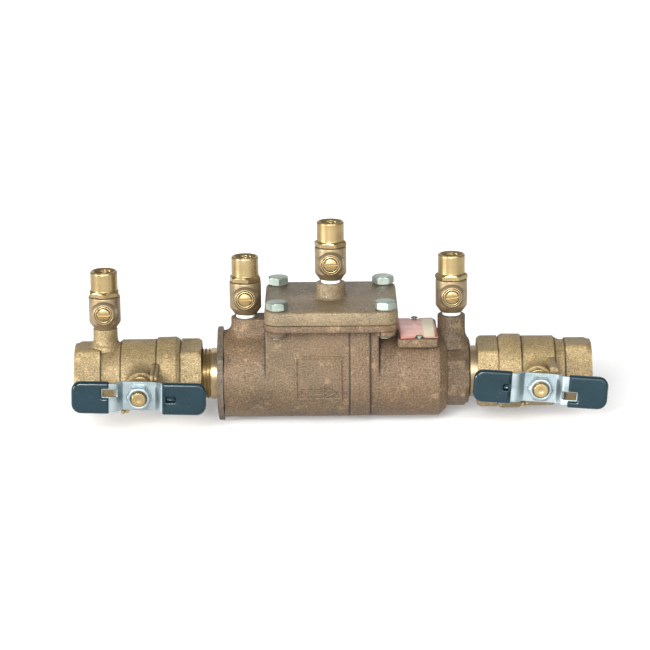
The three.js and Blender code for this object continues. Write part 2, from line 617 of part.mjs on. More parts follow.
function cockBarrel() {
  const c = COCK;
  return rod('z', c.shankBottom, c.bodyTop + 1, c.shank)
    .add(hexBar('z', c.bodyTop + GAP, c.collarTop, c.collarFlats, { turn: 0, chamferTo: 0.8 }))
    .add(rod('z', c.collarTop - 1, c.top, c.barrel, 16))
    .subtract(rod('z', c.shankBottom - 1, c.top, c.waterway, FINE_BORE))
    .subtract(rod('z', c.top - c.portDepth, c.top + 1, c.port));
}

function cockPlug() {
  const c = COCK;
  const front = -c.stemFront;
  const half = c.slotWidth / 2;
  return rod('front', -c.plugBack, c.plugShoulder, c.plugRadius)
    .add(rod('front', 0, c.stemFront, c.stemRadius))
    .subtract(rod('x', -c.radius, c.radius, c.waterway - 0.4, FINE_BORE))
    .subtract(block([-c.radius, c.radius], [front - 1, front + c.slotDepth], [-half, half]));
}

function addCock(parent, number, cock) {
  const group = new THREE.Group();
  const turning = new THREE.Group();
  group.position.set(cock.x, 0, cock.bossTop + cock.shown);
  turning.position.z = COCK.plugHeight;
  turning.rotation.y = -radians(cock.turn);
  parent.add(group);
  group.add(turning);
  piece(group, `test_cock_${number}_body`, cockBody(), BRONZE);
  piece(group, `test_cock_${number}_barrel`, cockBarrel(), BRASS);
  piece(turning, `test_cock_${number}_plug`, cockPlug(), BRASS);
}

// ---------------------------------------------------------------- tag

function screwPlaces() {
  const lean = Math.tan(radians(TAG.turn)) * DRIVE_SCREW.offset;
  const middle = (PAD.start + PAD.end) / 2;
  return [-1, 1].map((side) => [middle - side * lean, side * DRIVE_SCREW.offset, 0]);
}

function tag() {
  const { width, length, thickness, turn, notch } = TAG;
  const outline = new THREE.Shape();
  const corners = [
    [-width, -length], [-2 * notch, -length], [0, 4 * notch - length], [2 * notch, -length],
    [width, -length], [width, length], [2 * notch, length], [0, length - 4 * notch],
    [-2 * notch, length], [-width, length],
  ];
  outline.setFromPoints(corners.map(([x, y]) => new THREE.Vector2(x / 2, y / 2)));
  const geometry = slab(outline, PAD.top + GAP, PAD.top + GAP + thickness);
  geometry.rotateZ(radians(turn));
  return solid(geometry).translate([(PAD.start + PAD.end) / 2, 0, 0]);
}

function driveScrew() {
  const { radius, head, depth } = DRIVE_SCREW;
  const seat = PAD.top + 2 * GAP + TAG.thickness;
  return turned('z', [
    [PAD.top - depth, 0], [PAD.top - depth, radius], [seat, radius], [seat, head], [seat + 0.5, head],
    [seat + 1.1, 0.6 * head], [seat + 1.3, 0],
  ], FINE_BORE);
}

// ---------------------------------------------------------------- assembly

const inletValve = new THREE.Group();
inletValve.rotation.x = radians(INLET_VALVE.roll);
root.add(inletValve);
addValve(inletValve, INLET_VALVE);
addCock(inletValve, 1, COCKS[0]);

const outletValve = new THREE.Group();
const outletTurn = new THREE.Group();
outletValve.rotation.x = radians(OUTLET_VALVE.roll);
outletTurn.position.x = OVERALL_LENGTH;
outletTurn.rotation.y = Math.PI;
root.add(outletValve);
outletValve.add(outletTurn);
addValve(outletTurn, OUTLET_VALVE);

const inletEnd = INLET_VALVE.faceToStem + INLET_VALVE.adapterEnd;
const outletEnd = OVERALL_LENGTH - OUTLET_VALVE.faceToStem - OUTLET_VALVE.adapterEnd;
const engagement = SOCKET_DEPTH - 1;
piece(root, 'inlet_nipple', nipple(inletEnd - engagement, PLUG.shankEnd - 0.5), BRASS);
piece(root, 'outlet_nipple', nipple(BODY.end - engagement, outletEnd + engagement), BRASS);
piece(root, 'main_body', mainBody(), BRONZE);
piece(root, 'inlet_plug', inletPlug(), BRONZE);
const plugSeal = tube('x', PLUG_SEAL.start, PLUG_SEAL.end, PLUG_SEAL.outer, PLUG_SEAL.inner, ROUND);
piece(root, 'inlet_plug_seal', plugSeal, RUBBER);
piece(root, 'cover', cover(), BRONZE);
piece(root, 'cover_seal', sealRing(0), RUBBER);
atCorners(coverBolt()).forEach((bolt, i) => piece(root, `cover_bolt_${i + 1}`, bolt, ZINC));
CHECK_WEBS.forEach((web, i) => addCheck(root, i + 1, web));
COCKS.slice(1).forEach((cock, i) => addCock(root, i + 2, cock));
piece(root, 'name_tag', tag(), TAG_METAL);
screwPlaces().forEach((place, i) => piece(root, `tag_screw_${i + 1}`, driveScrew().translate(place), ZINC));

export default root;
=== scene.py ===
"""A 1-inch bronze double check backflow preventer: the fine pieces, finishes and stage."""

import json
import math

import bmesh
import bpy
import numpy as np
from mathutils import Matrix, Vector


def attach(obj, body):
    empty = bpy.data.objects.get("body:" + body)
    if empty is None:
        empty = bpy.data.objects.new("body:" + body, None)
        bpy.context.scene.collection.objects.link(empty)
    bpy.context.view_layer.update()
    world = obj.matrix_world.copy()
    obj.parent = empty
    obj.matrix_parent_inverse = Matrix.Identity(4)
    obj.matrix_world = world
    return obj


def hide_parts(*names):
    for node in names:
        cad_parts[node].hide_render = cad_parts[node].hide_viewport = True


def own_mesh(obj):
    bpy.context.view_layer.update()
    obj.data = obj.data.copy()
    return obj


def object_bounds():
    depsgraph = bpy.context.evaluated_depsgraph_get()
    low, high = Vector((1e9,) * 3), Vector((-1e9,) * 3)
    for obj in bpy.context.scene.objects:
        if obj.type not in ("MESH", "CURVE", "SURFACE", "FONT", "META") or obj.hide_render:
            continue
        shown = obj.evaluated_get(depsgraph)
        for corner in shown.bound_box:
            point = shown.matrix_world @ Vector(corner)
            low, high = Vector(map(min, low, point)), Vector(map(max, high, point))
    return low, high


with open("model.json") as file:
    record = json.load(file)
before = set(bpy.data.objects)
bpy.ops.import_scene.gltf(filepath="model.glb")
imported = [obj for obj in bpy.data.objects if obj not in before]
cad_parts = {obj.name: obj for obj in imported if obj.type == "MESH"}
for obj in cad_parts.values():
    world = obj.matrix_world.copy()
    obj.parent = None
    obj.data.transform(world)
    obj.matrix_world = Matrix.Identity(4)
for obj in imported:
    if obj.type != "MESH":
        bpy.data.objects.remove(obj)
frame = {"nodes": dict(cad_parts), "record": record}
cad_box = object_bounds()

bl_info = {
    "name": "Backflow Preventer",
    "version": (1, 0, 0),
    "blender": (4, 5, 0),
    "location": "View3D > Sidebar > Backflow",
    "description": "Builds the castings, valves, cocks, finishes and stage of a double check assembly",
    "category": "Object",
}

# Sizes are in millimetres. +X runs with the flow from the inlet face, +Z is up, the valve stems face -Y.
# The rows of a profile are (place along its axis, radius, corner cut).
METRES = 0.001
WELD = 2e-6
LENGTH = 337.0
GAP = 0.3
PIPE = 16.7
SOCKET, SOCKET_DEPTH, SOCKET_THREAD = 17.0, 17.0, 0.55
WATERWAY = 12.5
WALL_Y = 28.6
BALL, BALL_BORE = 18.5, 12.0
STEM_PITCH, BOLT_PITCH = 1.27, 1.411
VALVES = {
    "inlet": dict(stem=44.1, chamber=13.5, bevel=25.0, adapter=38.6, twist=6.5, roll=1.5, turn=1.6,
                  open_grip=18.9, lined_grip=14.9, lined_slot=(16.9, 24.0)),
    "outlet": dict(stem=36.3, chamber=12.0, bevel=24.5, adapter=38.0, twist=-13.0, roll=-2.1, turn=4.4,
                   open_grip=17.5, lined_grip=18.6, lined_slot=(19.5, 24.4)),
}

# Hexagons, across flats.
VALVE_FLATS, ADAPTER_FLATS, OUTLET_FLATS, PLUG_FLATS = 39.6, 41.0, 40.7, 55.9
GLAND_FLATS, HANDLE_NUT_FLATS, BOLT_FLATS, COLLAR_FLATS = 16.0, 14.3, 12.7, 18.7

# Handles: the plate's depth in front of the pipe axis and its step, its slots as (left, right, low, high).
PLATE_Y, STEP, STEP_START, STEP_END = 47.5, 5.3, 10.2, 16.3
PLATE_HALF_LENGTH, PLATE_HALF_WIDTH, PLATE_EDGE = 40, 9.35, 0.35
OPEN_SLOT, LINED_LOW, LINED_HIGH = (-23.2, -14.5, 0.6, 5.7), -2.5, 2.1
GRIP_Y, GRIP_HALF, GRIP_END, GRIP_CORNER, GRIP_EDGE = 52.8, 10.65, 43, 6.2, 2.2

# The main body and its cover.
COVER_CENTRE, SQUARE_HALF, SQUARE_CORNER = 167.5, 43, 10
COVER_TOP, RISER_TOP, BAND_HEIGHT = 51.2, 39.0, 1.4
BOLT_OFFSET = 34.7
TAG_X, TAG_TURN, TAG_HALF_WIDTH, TAG_HALF_LENGTH, TAG_NOTCH = 223.5, 2, 12.3, 25.5, 3.4
DRIVE_SCREW_Y = 24.2

# Test cocks from the inlet on. The plugs stand 11.7 above the base, and their slots are turned.
COCKS = (
    dict(x=20.0, base=32.2, turn=0.0, collar=4.0),
    dict(x=111.8, base=40.8, turn=0.0, collar=11.0),
    dict(x=167.5, base=63.4, turn=0.0, collar=19.0),
    dict(x=246.0, base=41.1, turn=8.0, collar=26.0),
)
PLUG_HEIGHT, PLUG_RADIUS, PLUG_FACE = 11.7, 4.05, 13.7
PORT, PORT_THREAD = 6.5, 0.5

# Check springs: where each one's guide stands, and their length, coil radius, wire radius and turns.
SPRING_GUIDES, SPRING_LENGTH, SPRING_COIL, SPRING_WIRE, SPRING_TURNS = (151.7, 228.7), 17.1, 9.0, 0.8, 5

# Creases across X darkened with painted shade: (x, low end, high end). One that goes right round ends beyond
# the part.
BEYOND = 99
BODY_CREASES = ((179.2, -BEYOND, 37.2), (192.8, -BEYOND, 37.2), (124.4, 6, 37.2), (198.9, 6, 37.2))
VALVE_CREASES = ((30.4, -BEYOND, BEYOND), (53.4, -BEYOND, BEYOND), (17.4, -BEYOND, 19),
                 (291.3, -BEYOND, BEYOND), (312.9, -BEYOND, BEYOND), (319.6, -BEYOND, BEYOND))

# Stage: metres and degrees. Lamps are (name, azimuth, elevation, angle, strength).
FLOOR_HALF, FLOOR_DROP = 30.0, 0.0005
WORLD_COLOUR, WORLD_STRENGTH = (1.0, 0.995, 0.985, 1.0), 0.32
LAMPS = (
    ("key", -12.0, 20.0, 22.0, 4.6),
    ("fill", 25.0, 22.0, 50.0, 2.2),
    ("rake", -62.0, 10.0, 14.0, 4.2),
    ("back", 172.0, 32.0, 50.0, 0.55),
)
CAMERA_AIM, CAMERA_DISTANCE = (0.1635, 0.0, 0.032), 1.84
CAMERA_TILT, CAMERA_ROLL, CAMERA_LENS = 14.5, -0.55, 155.9


# ---------------------------------------------------------------- shapes


def rounded(rows, closed=False):
    """A profile with its corners rounded.

    Each row is (along, radius, cut). A corner becomes the circular arc that leaves its two edges at the
    distance cut from it, written as a rational quadratic curve through the corner point.
    """
    rows = np.asarray(rows, float)
    t = np.linspace(0, 1, 5)[:, None]
    parts = []
    for i, (along, radius, cut) in enumerate(rows):
        corner = np.array([along, radius])
        if cut == 0 or (not closed and i in (0, len(rows) - 1)):
            parts.append(corner[None])
            continue
        to_last = rows[i - 1, :2] - corner
        to_next = rows[(i + 1) % len(rows), :2] - corner
        lengths = np.linalg.norm(to_last), np.linalg.norm(to_next)
        reach = min(cut, 0.49 * lengths[0], 0.49 * lengths[1])
        a, b = to_last / lengths[0], to_next / lengths[1]
        weight = math.sqrt(max(0.02, (1 - a @ b) / 2))
        blend = (1 - t) ** 2, 2 * t * (1 - t) * weight, t**2
        sums = blend[0] * (corner + a * reach) + blend[1] * corner + blend[2] * (corner + b * reach)
        parts.append(sums / sum(blend))
    return np.concatenate(parts)


def hexagon(angle, flats):
    """Distance from centre to edge: half the flats over the cosine of the angle from the nearest flat."""
    apothem = flats / 2
    away = (angle + math.pi / 6) % (math.pi / 3) - math.pi / 6
    return np.minimum(apothem / np.cos(away), 0.985 * apothem * 2 / math.sqrt(3))


def lathe(profile, axis, sides, flats=None, span=None, twist=0.0, relief=None):
    """A profile turned about an axis.

    The point at (place along, angle) lies at the profile's radius there. Between the two places of span
    the radius is no more than that of a hexagon. relief(along, angle, profile radius) is added to it.
    """
    angle = np.linspace(0, 2 * math.pi, sides, endpoint=False)[None, :] + math.radians(twist)
    along = np.repeat(profile[:, :1], sides, axis=1)
    radius = own = np.repeat(profile[:, 1:2], sides, axis=1)
    if flats:
        inside = (along >= span[0] - 1e-6) & (along <= span[1] + 1e-6)
        edge = hexagon(angle - math.radians(twist), flats)
        radius = np.where(inside, np.minimum(radius, edge), radius)
    if relief:
        radius = radius + relief(along, angle, own)
    across, up = radius * np.cos(angle), radius * np.sin(angle)
    order = {"x": (along, across, up), "z": (across, up, along), "front": (across, -along, up)}[axis]
    return np.stack(order, axis=-1)


def thread(pitch, depth, start, end, only=None):
    """A relief for lathe: a helical ridge, its height a triangle wave of along/pitch minus angle/turn.

    It fades in and out over 0.6 at start and end. Given only, it is where the profile has that radius.
    """

    def relief(along, angle, own):
        phase = (along / pitch - angle / (2 * math.pi)) % 1.0
        ridge = np.abs(2 * phase - 1)
        inside = np.clip((along - start) / 0.6, 0, 1) * np.clip((end - along) / 0.6, 0, 1)
        cut = -depth * inside * np.clip(1.15 * ridge - 0.05, 0, 1)
        return cut if only is None else np.where(np.isclose(own, only), cut, 0.0)

    return relief


def offset_loop(corners, radii, inset, steps=6):
    """A closed outline of straight edges and round corners, moved inward by inset.

    Each corner moves along its mitre, (n1 + n2) over (1 + n1 . n2), and its radius shrinks by inset where
    the corner is convex and grows by it where it is hollow.
    """
    corners = np.asarray(corners, float)
    edges = np.roll(corners, -1, axis=0) - corners
    edges /= np.linalg.norm(edges, axis=1)[:, None]
    normals = np.stack([edges[:, 1], -edges[:, 0]], axis=1)
    last = np.roll(normals, 1, axis=0)
    mitre = (last + normals) / (1 + np.sum(last * normals, axis=1))[:, None]
    moved_in = corners - inset * mitre
    before, after = -np.roll(edges, 1, axis=0), edges
    bend = np.cross(np.roll(edges, 1, axis=0), edges)
    radius = np.maximum(np.asarray(radii, float) - inset * np.sign(bend), 0.02)
    half = (np.pi - np.arccos(np.clip(np.sum(before * after, axis=1), -1, 1))) / 2
    reach = (radius * np.tan(half))[:, None, None]
    weight = np.cos(half)[:, None, None]
    t = np.linspace(0, 1, steps + 1)[None, :, None]
    first, middle, final = (1 - t) ** 2, 2 * t * (1 - t) * weight, t**2
    start = moved_in[:, None] + before[:, None] * reach
    end = moved_in[:, None] + after[:, None] * reach
    curve = (first * start + middle * moved_in[:, None] + final * end) / (first + middle + final)
    return curve.reshape(-1, 2)


def box_corners(x0, x1, y0, y1):
    return [(x1, y0), (x1, y1), (x0, y1), (x0, y0)]


def square_outline():
    """The square that the body's flange and its cover share."""
    return box_corners(COVER_CENTRE - SQUARE_HALF, COVER_CENTRE + SQUARE_HALF, -SQUARE_HALF, SQUARE_HALF)


def face_front(grid):
    """Turns a shape drawn in (across, up, towards the front) into X, Z and -Y."""
    return np.stack([grid[..., 0], -grid[..., 2], grid[..., 1]], axis=-1)


def stack_loops(loops, heights, axis="z"):
    """Outlines stacked at their heights, each one a row of the grid."""
    rows = [np.column_stack([loop, np.full(len(loop), height)]) for loop, height in zip(loops, heights)]
    return face_front(np.array(rows)) if axis == "front" else np.array(rows)


def loft(corners, radii, levels, axis="z", steps=6):
    """An outline stacked through levels of (height, inset), each one the outline moved in by its inset."""
    loops = [offset_loop(corners, radii, inset, steps) for _, inset in levels]
    return stack_loops(loops, [height for height, _ in levels], axis)


def slab_levels(bottom, top, low_edge, high_edge, steps=4):
    """Levels of a plate whose lower and upper edges are quarter circles."""
    a = np.linspace(0, math.pi / 2, steps + 1)
    low = [(bottom + low_edge * (1 - math.sin(k)), low_edge * (1 - math.cos(k))) for k in a[::-1]]
    high = [(top - high_edge * (1 - math.sin(k)), high_edge * (1 - math.cos(k))) for k in a]
    return low + high


def round_host(radius):
    """A lying cylinder's height at each place across it: the root of radius squared less across squared."""
    return lambda along, across: np.sqrt(np.maximum(radius**2 - across**2, 1))


def boss(loop, host, fillet, top, edge, axis="z"):
    """A boss with a filleted foot draped on the surface that it stands on.

    Each point of the outline moves out by o along the outline's normal. In the fillet, at angle a,
    o = f (1 - sin a) and the height is host + f (1 - cos a). The wall then rises to the rounded top edge.
    """
    loop = np.asarray(loop, float)
    ahead = np.roll(loop, -1, axis=0) - np.roll(loop, 1, axis=0)
    ahead /= np.linalg.norm(ahead, axis=1)[:, None]
    normal = np.stack([ahead[:, 1], -ahead[:, 0]], axis=1)

    def draped(out, lift):
        place = loop + normal * out
        return np.column_stack([place, host(place[:, 0], place[:, 1]) + lift])

    rows = [draped(fillet + 0.01, -1.5)]
    for a in np.linspace(0, math.pi / 2, 8):
        rows.append(draped(fillet * (1 - math.sin(a)), fillet * (1 - math.cos(a))))
    for a in np.linspace(0, math.pi / 2, 5):
        place = loop + normal * (-edge * (1 - math.cos(a)))
        rows.append(np.column_stack([place, np.full(len(loop), top - edge * (1 - math.sin(a)))]))
    grid = np.array(rows)
    return face_front(grid) if axis == "front" else grid


def circle(x, y, radius, sides=64):
    angle = np.linspace(0, 2 * math.pi, sides, endpoint=False)
    return np.column_stack([x + radius * np.cos(angle), y + radius * np.sin(angle)])


def ridge(path, normals, width, height):
    """A half-round bead along a closed path: each point moves w cos a sideways and h sin a outward."""
    side = np.cross(np.roll(path, -1, axis=0) - np.roll(path, 1, axis=0), normals)
    side /= np.linalg.norm(side, axis=1)[:, None]
    a = np.linspace(0, 2 * math.pi, 12, endpoint=False)[None, :, None]
    lift = np.where(np.sin(a) > 0, height * np.sin(a), 0.5 * np.sin(a))
    return path[:, None] + 0.5 * width * np.cos(a) * side[:, None] + lift * normals[:, None]


def helix(start, end, coil, wire, turns):
    """A round wire along a helix about X, ground flat at both ends.

    At the share t of its length the wire's centre is at (start + wire + (end - start - 2 wire) e(t),
    coil cos a, coil sin a), with a = 2 pi turns t. e is 0 for the first 0.45 turn, 1 for the last 0.45
    turn, and rises evenly between.
    """
    t = np.linspace(0, 1, 40 * turns + 1)[:, None]
    hold = 0.45 / turns
    rise = np.clip((t - hold) / (1 - 2 * hold), 0, 1)
    centre_x = start + wire + (end - start - 2 * wire) * rise
    angle = 2 * math.pi * turns * t
    around = np.linspace(0, 2 * math.pi, 12, endpoint=False)[None, :]
    radius = coil + wire * np.cos(around)
    return np.stack([centre_x + wire * np.sin(around), radius * np.cos(angle), radius * np.sin(angle)], axis=-1)


def turned(axis, degrees):
    return np.array(Matrix.Rotation(math.radians(degrees), 4, axis))


def moved(x, y, z):
    return np.array(Matrix.Translation(Vector((x, y, z))))


# ---------------------------------------------------------------- meshes


def grid_faces(rows, columns, close_rows, close_columns):
    """Four corners of each cell of a grid of points, numbered row by row."""
    i, j = np.meshgrid(np.arange(rows - (not close_rows)), np.arange(columns - (not close_columns)),
                       indexing="ij")
    below, right = (i + 1) % rows, (j + 1) % columns
    cells = [i * columns + j, i * columns + right, below * columns + right, below * columns + j]
    return np.stack(cells, axis=-1).reshape(-1, 4)


class Shell:
    """One closed surface of a piece: its points on a grid, and where it stands.

    ends is "caps" for a flat face over the first and last rows, or "ring" where the last row joins the
    first.
    """

    def __init__(self, grid, ends="caps", place=None):
        self.grid = grid
        self.ends = ends
        self.place = place


def solid(rows, axis, sides, place=None, **turning):
    """A shell turned from a profile that starts and ends on its axis."""
    return Shell(lathe(rounded(rows), axis, sides, **turning), "caps", place)


def hollow(rows, axis, sides, place=None, **turning):
    """A shell turned from a closed profile."""
    return Shell(lathe(rounded(rows, closed=True), axis, sides, **turning), "ring", place)


def smooth_object(name, mesh, finish):
    mesh.polygons.foreach_set("use_smooth", np.ones(len(mesh.polygons), bool))
    piece = bpy.data.objects.new(name, mesh)
    bpy.context.scene.collection.objects.link(piece)
    mesh.materials.append(material(finish))
    return piece


def tie(piece, body, node):
    """Says which body a piece moves with, which CAD node it stands for, if any."""
    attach(piece, body)
    if node:
        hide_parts(node)


def add_piece(name, shells, finish, body, node=None, sharp=34.0):
    """Puts shells into one mesh object in metres, welds its seams and faces it outward."""
    mesh = bpy.data.meshes.new(name)
    points, faces, start = [], [], 0
    for shell in shells:
        rows, columns = shell.grid.shape[:2]
        flat = shell.grid.reshape(-1, 3)
        if shell.place is not None:
            flat = flat @ shell.place[:3, :3].T + shell.place[:3, 3]
        points.append(flat)
        faces.extend((grid_faces(rows, columns, shell.ends == "ring", True) + start).tolist())
        if shell.ends == "caps":
            faces.append((np.arange(columns)[::-1] + start).tolist())
            faces.append((np.arange(columns) + start + (rows - 1) * columns).tolist())
        start += rows * columns
    mesh.from_pydata((np.concatenate(points) * METRES).tolist(), [], faces)
    mesh.validate()
    work = bmesh.new()
    work.from_mesh(mesh)
    bmesh.ops.remove_doubles(work, verts=work.verts, dist=WELD)
    bmesh.ops.recalc_face_normals(work, faces=work.faces)
    work.to_mesh(mesh)
    work.free()
    piece = smooth_object(name, mesh, finish)
    mesh.set_sharp_from_angle(angle=math.radians(sharp))
    tie(piece, body, node)
    return piece


# ---------------------------------------------------------------- finishes


def linear(colour):
    return tuple(c / 12.92 if c <= 0.04045 else ((c + 0.055) / 1.055) ** 2.4 for c in colour[:3]) + (1.0,)


def srgb(text):
    return tuple(int(text[i:i + 2], 16) / 255 for i in (0, 2, 4))


def scaled(colour, factor):
    return tuple(factor * c for c in colour)


class Nodes:
    """Short calls for making and joining the nodes of one tree."""

    def __init__(self, tree):
        self.tree = tree

    def add(self, kind, settings=None, **inputs):
        node = self.tree.nodes.new(kind)
        for key, value in (settings or {}).items():
            setattr(node, key, value)
        for key, value in inputs.items():
            self.feed(node.inputs[key.replace("_", " ")], value)
        return node

    def feed(self, socket, value):
        if isinstance(value, bpy.types.NodeSocket):
            self.tree.links.new(value, socket)
        else:
            socket.default_value = value

    def noise(self, vector, scale, detail=3.0, rough=0.55):
        node = self.add("ShaderNodeTexNoise", Vector=vector, Scale=scale, Detail=detail, Roughness=rough)
        return node.outputs[0]

    def ramp(self, value, low, high, to_low=0.0, to_high=1.0):
        node = self.add("ShaderNodeMapRange", Value=value)
        for index, number in zip((1, 2, 3, 4), (low, high, to_low, to_high)):
            self.feed(node.inputs[index], number)
        return node.outputs[0]

    def maths(self, operation, a, b=0.0):
        node = self.add("ShaderNodeMath", {"operation": operation})
        self.feed(node.inputs[0], a)
        self.feed(node.inputs[1], b)
        return node.outputs[0]

    def times(self, a, b):
        return self.maths("MULTIPLY", a, b)

    def away_from(self, value, centre):
        return self.maths("ABSOLUTE", self.maths("SUBTRACT", value, centre))

    def mix(self, factor, a, b, blend="MIX"):
        node = self.add("ShaderNodeMix", {"data_type": "RGBA", "blend_type": blend})
        for index, value in zip((0, 6, 7), (factor, a, b)):
            self.feed(node.inputs[index], value)
        return node.outputs[2]

    def stretch(self, vector, scale):
        return self.add("ShaderNodeMapping", Vector=vector, Scale=scale).outputs[0]

    def apart(self, vector):
        return self.add("ShaderNodeSeparateXYZ", Vector=vector).outputs

    def use(self, tree, **inputs):
        return self.add("ShaderNodeGroup", {"node_tree": tree}, **inputs).outputs


VALUE, VECTOR = "NodeSocketFloat", "NodeSocketVector"


def group(name, inputs, outputs, build):
    """A shader node group with a vector, the named number inputs and their defaults, and number outputs.

    build(nodes, sources) returns the outputs' values in order.
    """
    if name in bpy.data.node_groups:
        return bpy.data.node_groups[name]
    tree = bpy.data.node_groups.new(name, "ShaderNodeTree")
    tree.interface.new_socket("Vector", in_out="INPUT", socket_type=VECTOR)
    for label, default in inputs:
        tree.interface.new_socket(label, in_out="INPUT", socket_type=VALUE).default_value = default
    for label in outputs:
        tree.interface.new_socket(label, in_out="OUTPUT", socket_type=VALUE)
    source = tree.nodes.new("NodeGroupInput")
    target = tree.nodes.new("NodeGroupOutput")
    nodes = Nodes(tree)
    results = build(nodes, source.outputs)
    for socket, value in zip(target.inputs, results):
        nodes.feed(socket, value)
    return tree


def cast_grain():
    """Sand-cast skin: height from grains of two sizes, dark specks in its hollows and light worn tips."""

    def build(nodes, given):
        coarse = nodes.noise(given["Vector"], given["Scale"], 4.0, 0.7)
        fine = nodes.noise(given["Vector"], nodes.times(given["Scale"], 2.7), 2.0, 0.6)
        pits = nodes.add("ShaderNodeTexVoronoi", {"feature": "SMOOTH_F1"}, Vector=given["Vector"],
                         Scale=nodes.times(given["Scale"], 1.6)).outputs["Distance"]
        height = nodes.maths("ADD", nodes.times(coarse, 0.7), nodes.times(pits, 0.45))
        both = nodes.maths("ADD", nodes.times(coarse, 0.62), nodes.times(fine, 0.38))
        return height, nodes.ramp(both, 0.50, 0.40), nodes.ramp(both, 0.53, 0.63)

    return group("Cast grain", (("Scale", 900.0),), ("Height", "Specks", "Tips"), build)


def stains():
    """Broad uneven patches: one soft noise for tone and one sharper noise for handling marks."""

    def build(nodes, given):
        broad = nodes.noise(given["Vector"], given["Scale"], 3.0, 0.6)
        marks = nodes.noise(given["Vector"], nodes.times(given["Scale"], 3.1), 5.0, 0.7)
        return nodes.ramp(broad, 0.34, 0.68), nodes.ramp(marks, 0.56, 0.66)

    return group("Stains", (("Scale", 30.0),), ("Tone", "Marks"), build)


def tool_marks():
    """Turning marks: fine and broad noise, drawn out round the work by the vector that it is given."""

    def build(nodes, given):
        fine = nodes.noise(given["Vector"], 900.0, 2.0, 0.7)
        broad = nodes.noise(given["Vector"], 160.0, 2.0, 0.5)
        return fine, nodes.ramp(broad, 0.35, 0.65)

    return group("Tool marks", (), ("Lines", "Bands"), build)


def seam_painted_shade():
    """Painted shade in a crease across X: full at the crease, none about 1 mm from it or outside the two ends.
    """

    def build(nodes, given):
        apart = nodes.apart(given["Vector"])
        away = nodes.away_from(apart["X"], given["Crease"])
        wander = nodes.noise(given["Vector"], 260.0, 3.0)
        near = nodes.ramp(away, nodes.times(wander, 0.0019), 0.0002)
        above = nodes.ramp(nodes.maths("SUBTRACT", apart["Z"], given["Low End"]), -0.004, 0.004)
        below = nodes.ramp(nodes.maths("SUBTRACT", apart["Z"], given["High End"]), 0.0005, -0.0005)
        return (nodes.times(nodes.times(near, above), below),)

    return group("Seam grime", (("Crease", 0.0), ("Low End", -1.0), ("High End", 1.0)), ("Mask",), build)


def new_material(name):
    made = bpy.data.materials.new(name)
    made.use_nodes = True
    made.node_tree.nodes.clear()
    nodes = Nodes(made.node_tree)
    shader = nodes.add("ShaderNodeBsdfPrincipled")
    nodes.add("ShaderNodeOutputMaterial", Surface=shader.outputs[0])
    where = nodes.add("ShaderNodeTexCoord").outputs["Object"]
    return made, nodes, shader, where


def raise_surface(nodes, shader, height, strength, distance):
    bump = nodes.add("ShaderNodeBump", Height=height, Strength=strength, Distance=distance)
    nodes.feed(shader.inputs["Normal"], bump.outputs[0])


def cast_finish(name, tones, scale, depth, metallic=0.2, rough=0.6, warm=None, marks=0.4, creases=()):
    """Sand-cast bronze: two tones mixed by stains, dark specks, light worn tips, a grainy bump and painted
    shade in the creases.

    creases are the (x, low end, high end) of the creases across X that get painted shade, in millimetres.
    """
    made, nodes, shader, where = new_material(name)
    grain = nodes.use(cast_grain(), Vector=where, Scale=scale)
    stain = nodes.use(stains(), Vector=where, Scale=34.0)
    light, dark = map(linear, tones)
    colour = nodes.mix(nodes.times(stain["Tone"], 0.7), light, dark)
    if warm:
        patch = nodes.ramp(nodes.noise(where, 15.0, 3.0), 0.50, 0.70, 0.0, 0.6)
        colour = nodes.mix(patch, colour, linear(warm))
    for mask, share, tint in ((stain["Marks"], marks, scaled(light, 1.7)),
                              (grain["Tips"], 0.6, scaled(light, 1.75)),
                              (grain["Specks"], 0.68, scaled(dark, 0.4))):
        colour = nodes.mix(nodes.times(mask, share), colour, tint)
    # painted shade: each crease is darkened along a narrow line where its shadow would fall
    for crease, low, high in creases:
        crease_shade = nodes.use(seam_painted_shade(), Vector=where, Crease=crease / 1000, Low_End=low / 1000,
                          High_End=high / 1000)
        colour = nodes.mix(nodes.times(crease_shade["Mask"], 0.85), colour, scaled(dark, 0.3))
    nodes.feed(shader.inputs["Base Color"], colour)
    shader.inputs["Metallic"].default_value = metallic
    nodes.feed(shader.inputs["Roughness"], nodes.ramp(grain["Specks"], 0.0, 1.0, rough, rough + 0.2))
    raise_surface(nodes, shader, grain["Height"], depth, 0.0006)
    return made


def turned_finish(name, tones, stretch, metallic=0.92, rough=0.24):
    """Turned metal: bands and fine lines round the axis given by stretch, with a little tarnish."""
    made, nodes, shader, where = new_material(name)
    light, dark = map(linear, tones)
    marks = nodes.use(tool_marks(), Vector=nodes.stretch(where, stretch))
    stain = nodes.use(stains(), Vector=where, Scale=60.0)
    tone = nodes.mix(nodes.times(marks["Bands"], 0.35), light, dark)
    nodes.feed(shader.inputs["Base Color"], nodes.mix(nodes.times(stain["Tone"], 0.3), tone, dark))
    shader.inputs["Metallic"].default_value = metallic
    nodes.feed(shader.inputs["Roughness"], nodes.ramp(stain["Tone"], 0.0, 1.0, rough, rough + 0.14))
    raise_surface(nodes, shader, marks["Lines"], 0.05, 0.0003)
    return made


def plated_finish(name, tones, rough=0.33):
    """Zinc plate: a cloudy bright coat with fine directional scratches."""
    made, nodes, shader, where = new_material(name)
    cloud = nodes.use(stains(), Vector=where, Scale=90.0)
    marks = nodes.use(tool_marks(), Vector=nodes.stretch(where, (0.12, 0.6, 0.6)))
    tone = nodes.mix(nodes.times(cloud["Tone"], 0.6), *map(linear, tones))
    nodes.feed(shader.inputs["Base Color"], nodes.mix(0.25, tone, marks["Bands"], "OVERLAY"))
    shader.inputs["Metallic"].default_value = 0.85
    nodes.feed(shader.inputs["Roughness"], nodes.ramp(cloud["Tone"], 0.0, 1.0, rough, rough + 0.15))
    raise_surface(nodes, shader, marks["Lines"], 0.04, 0.0003)
    return made


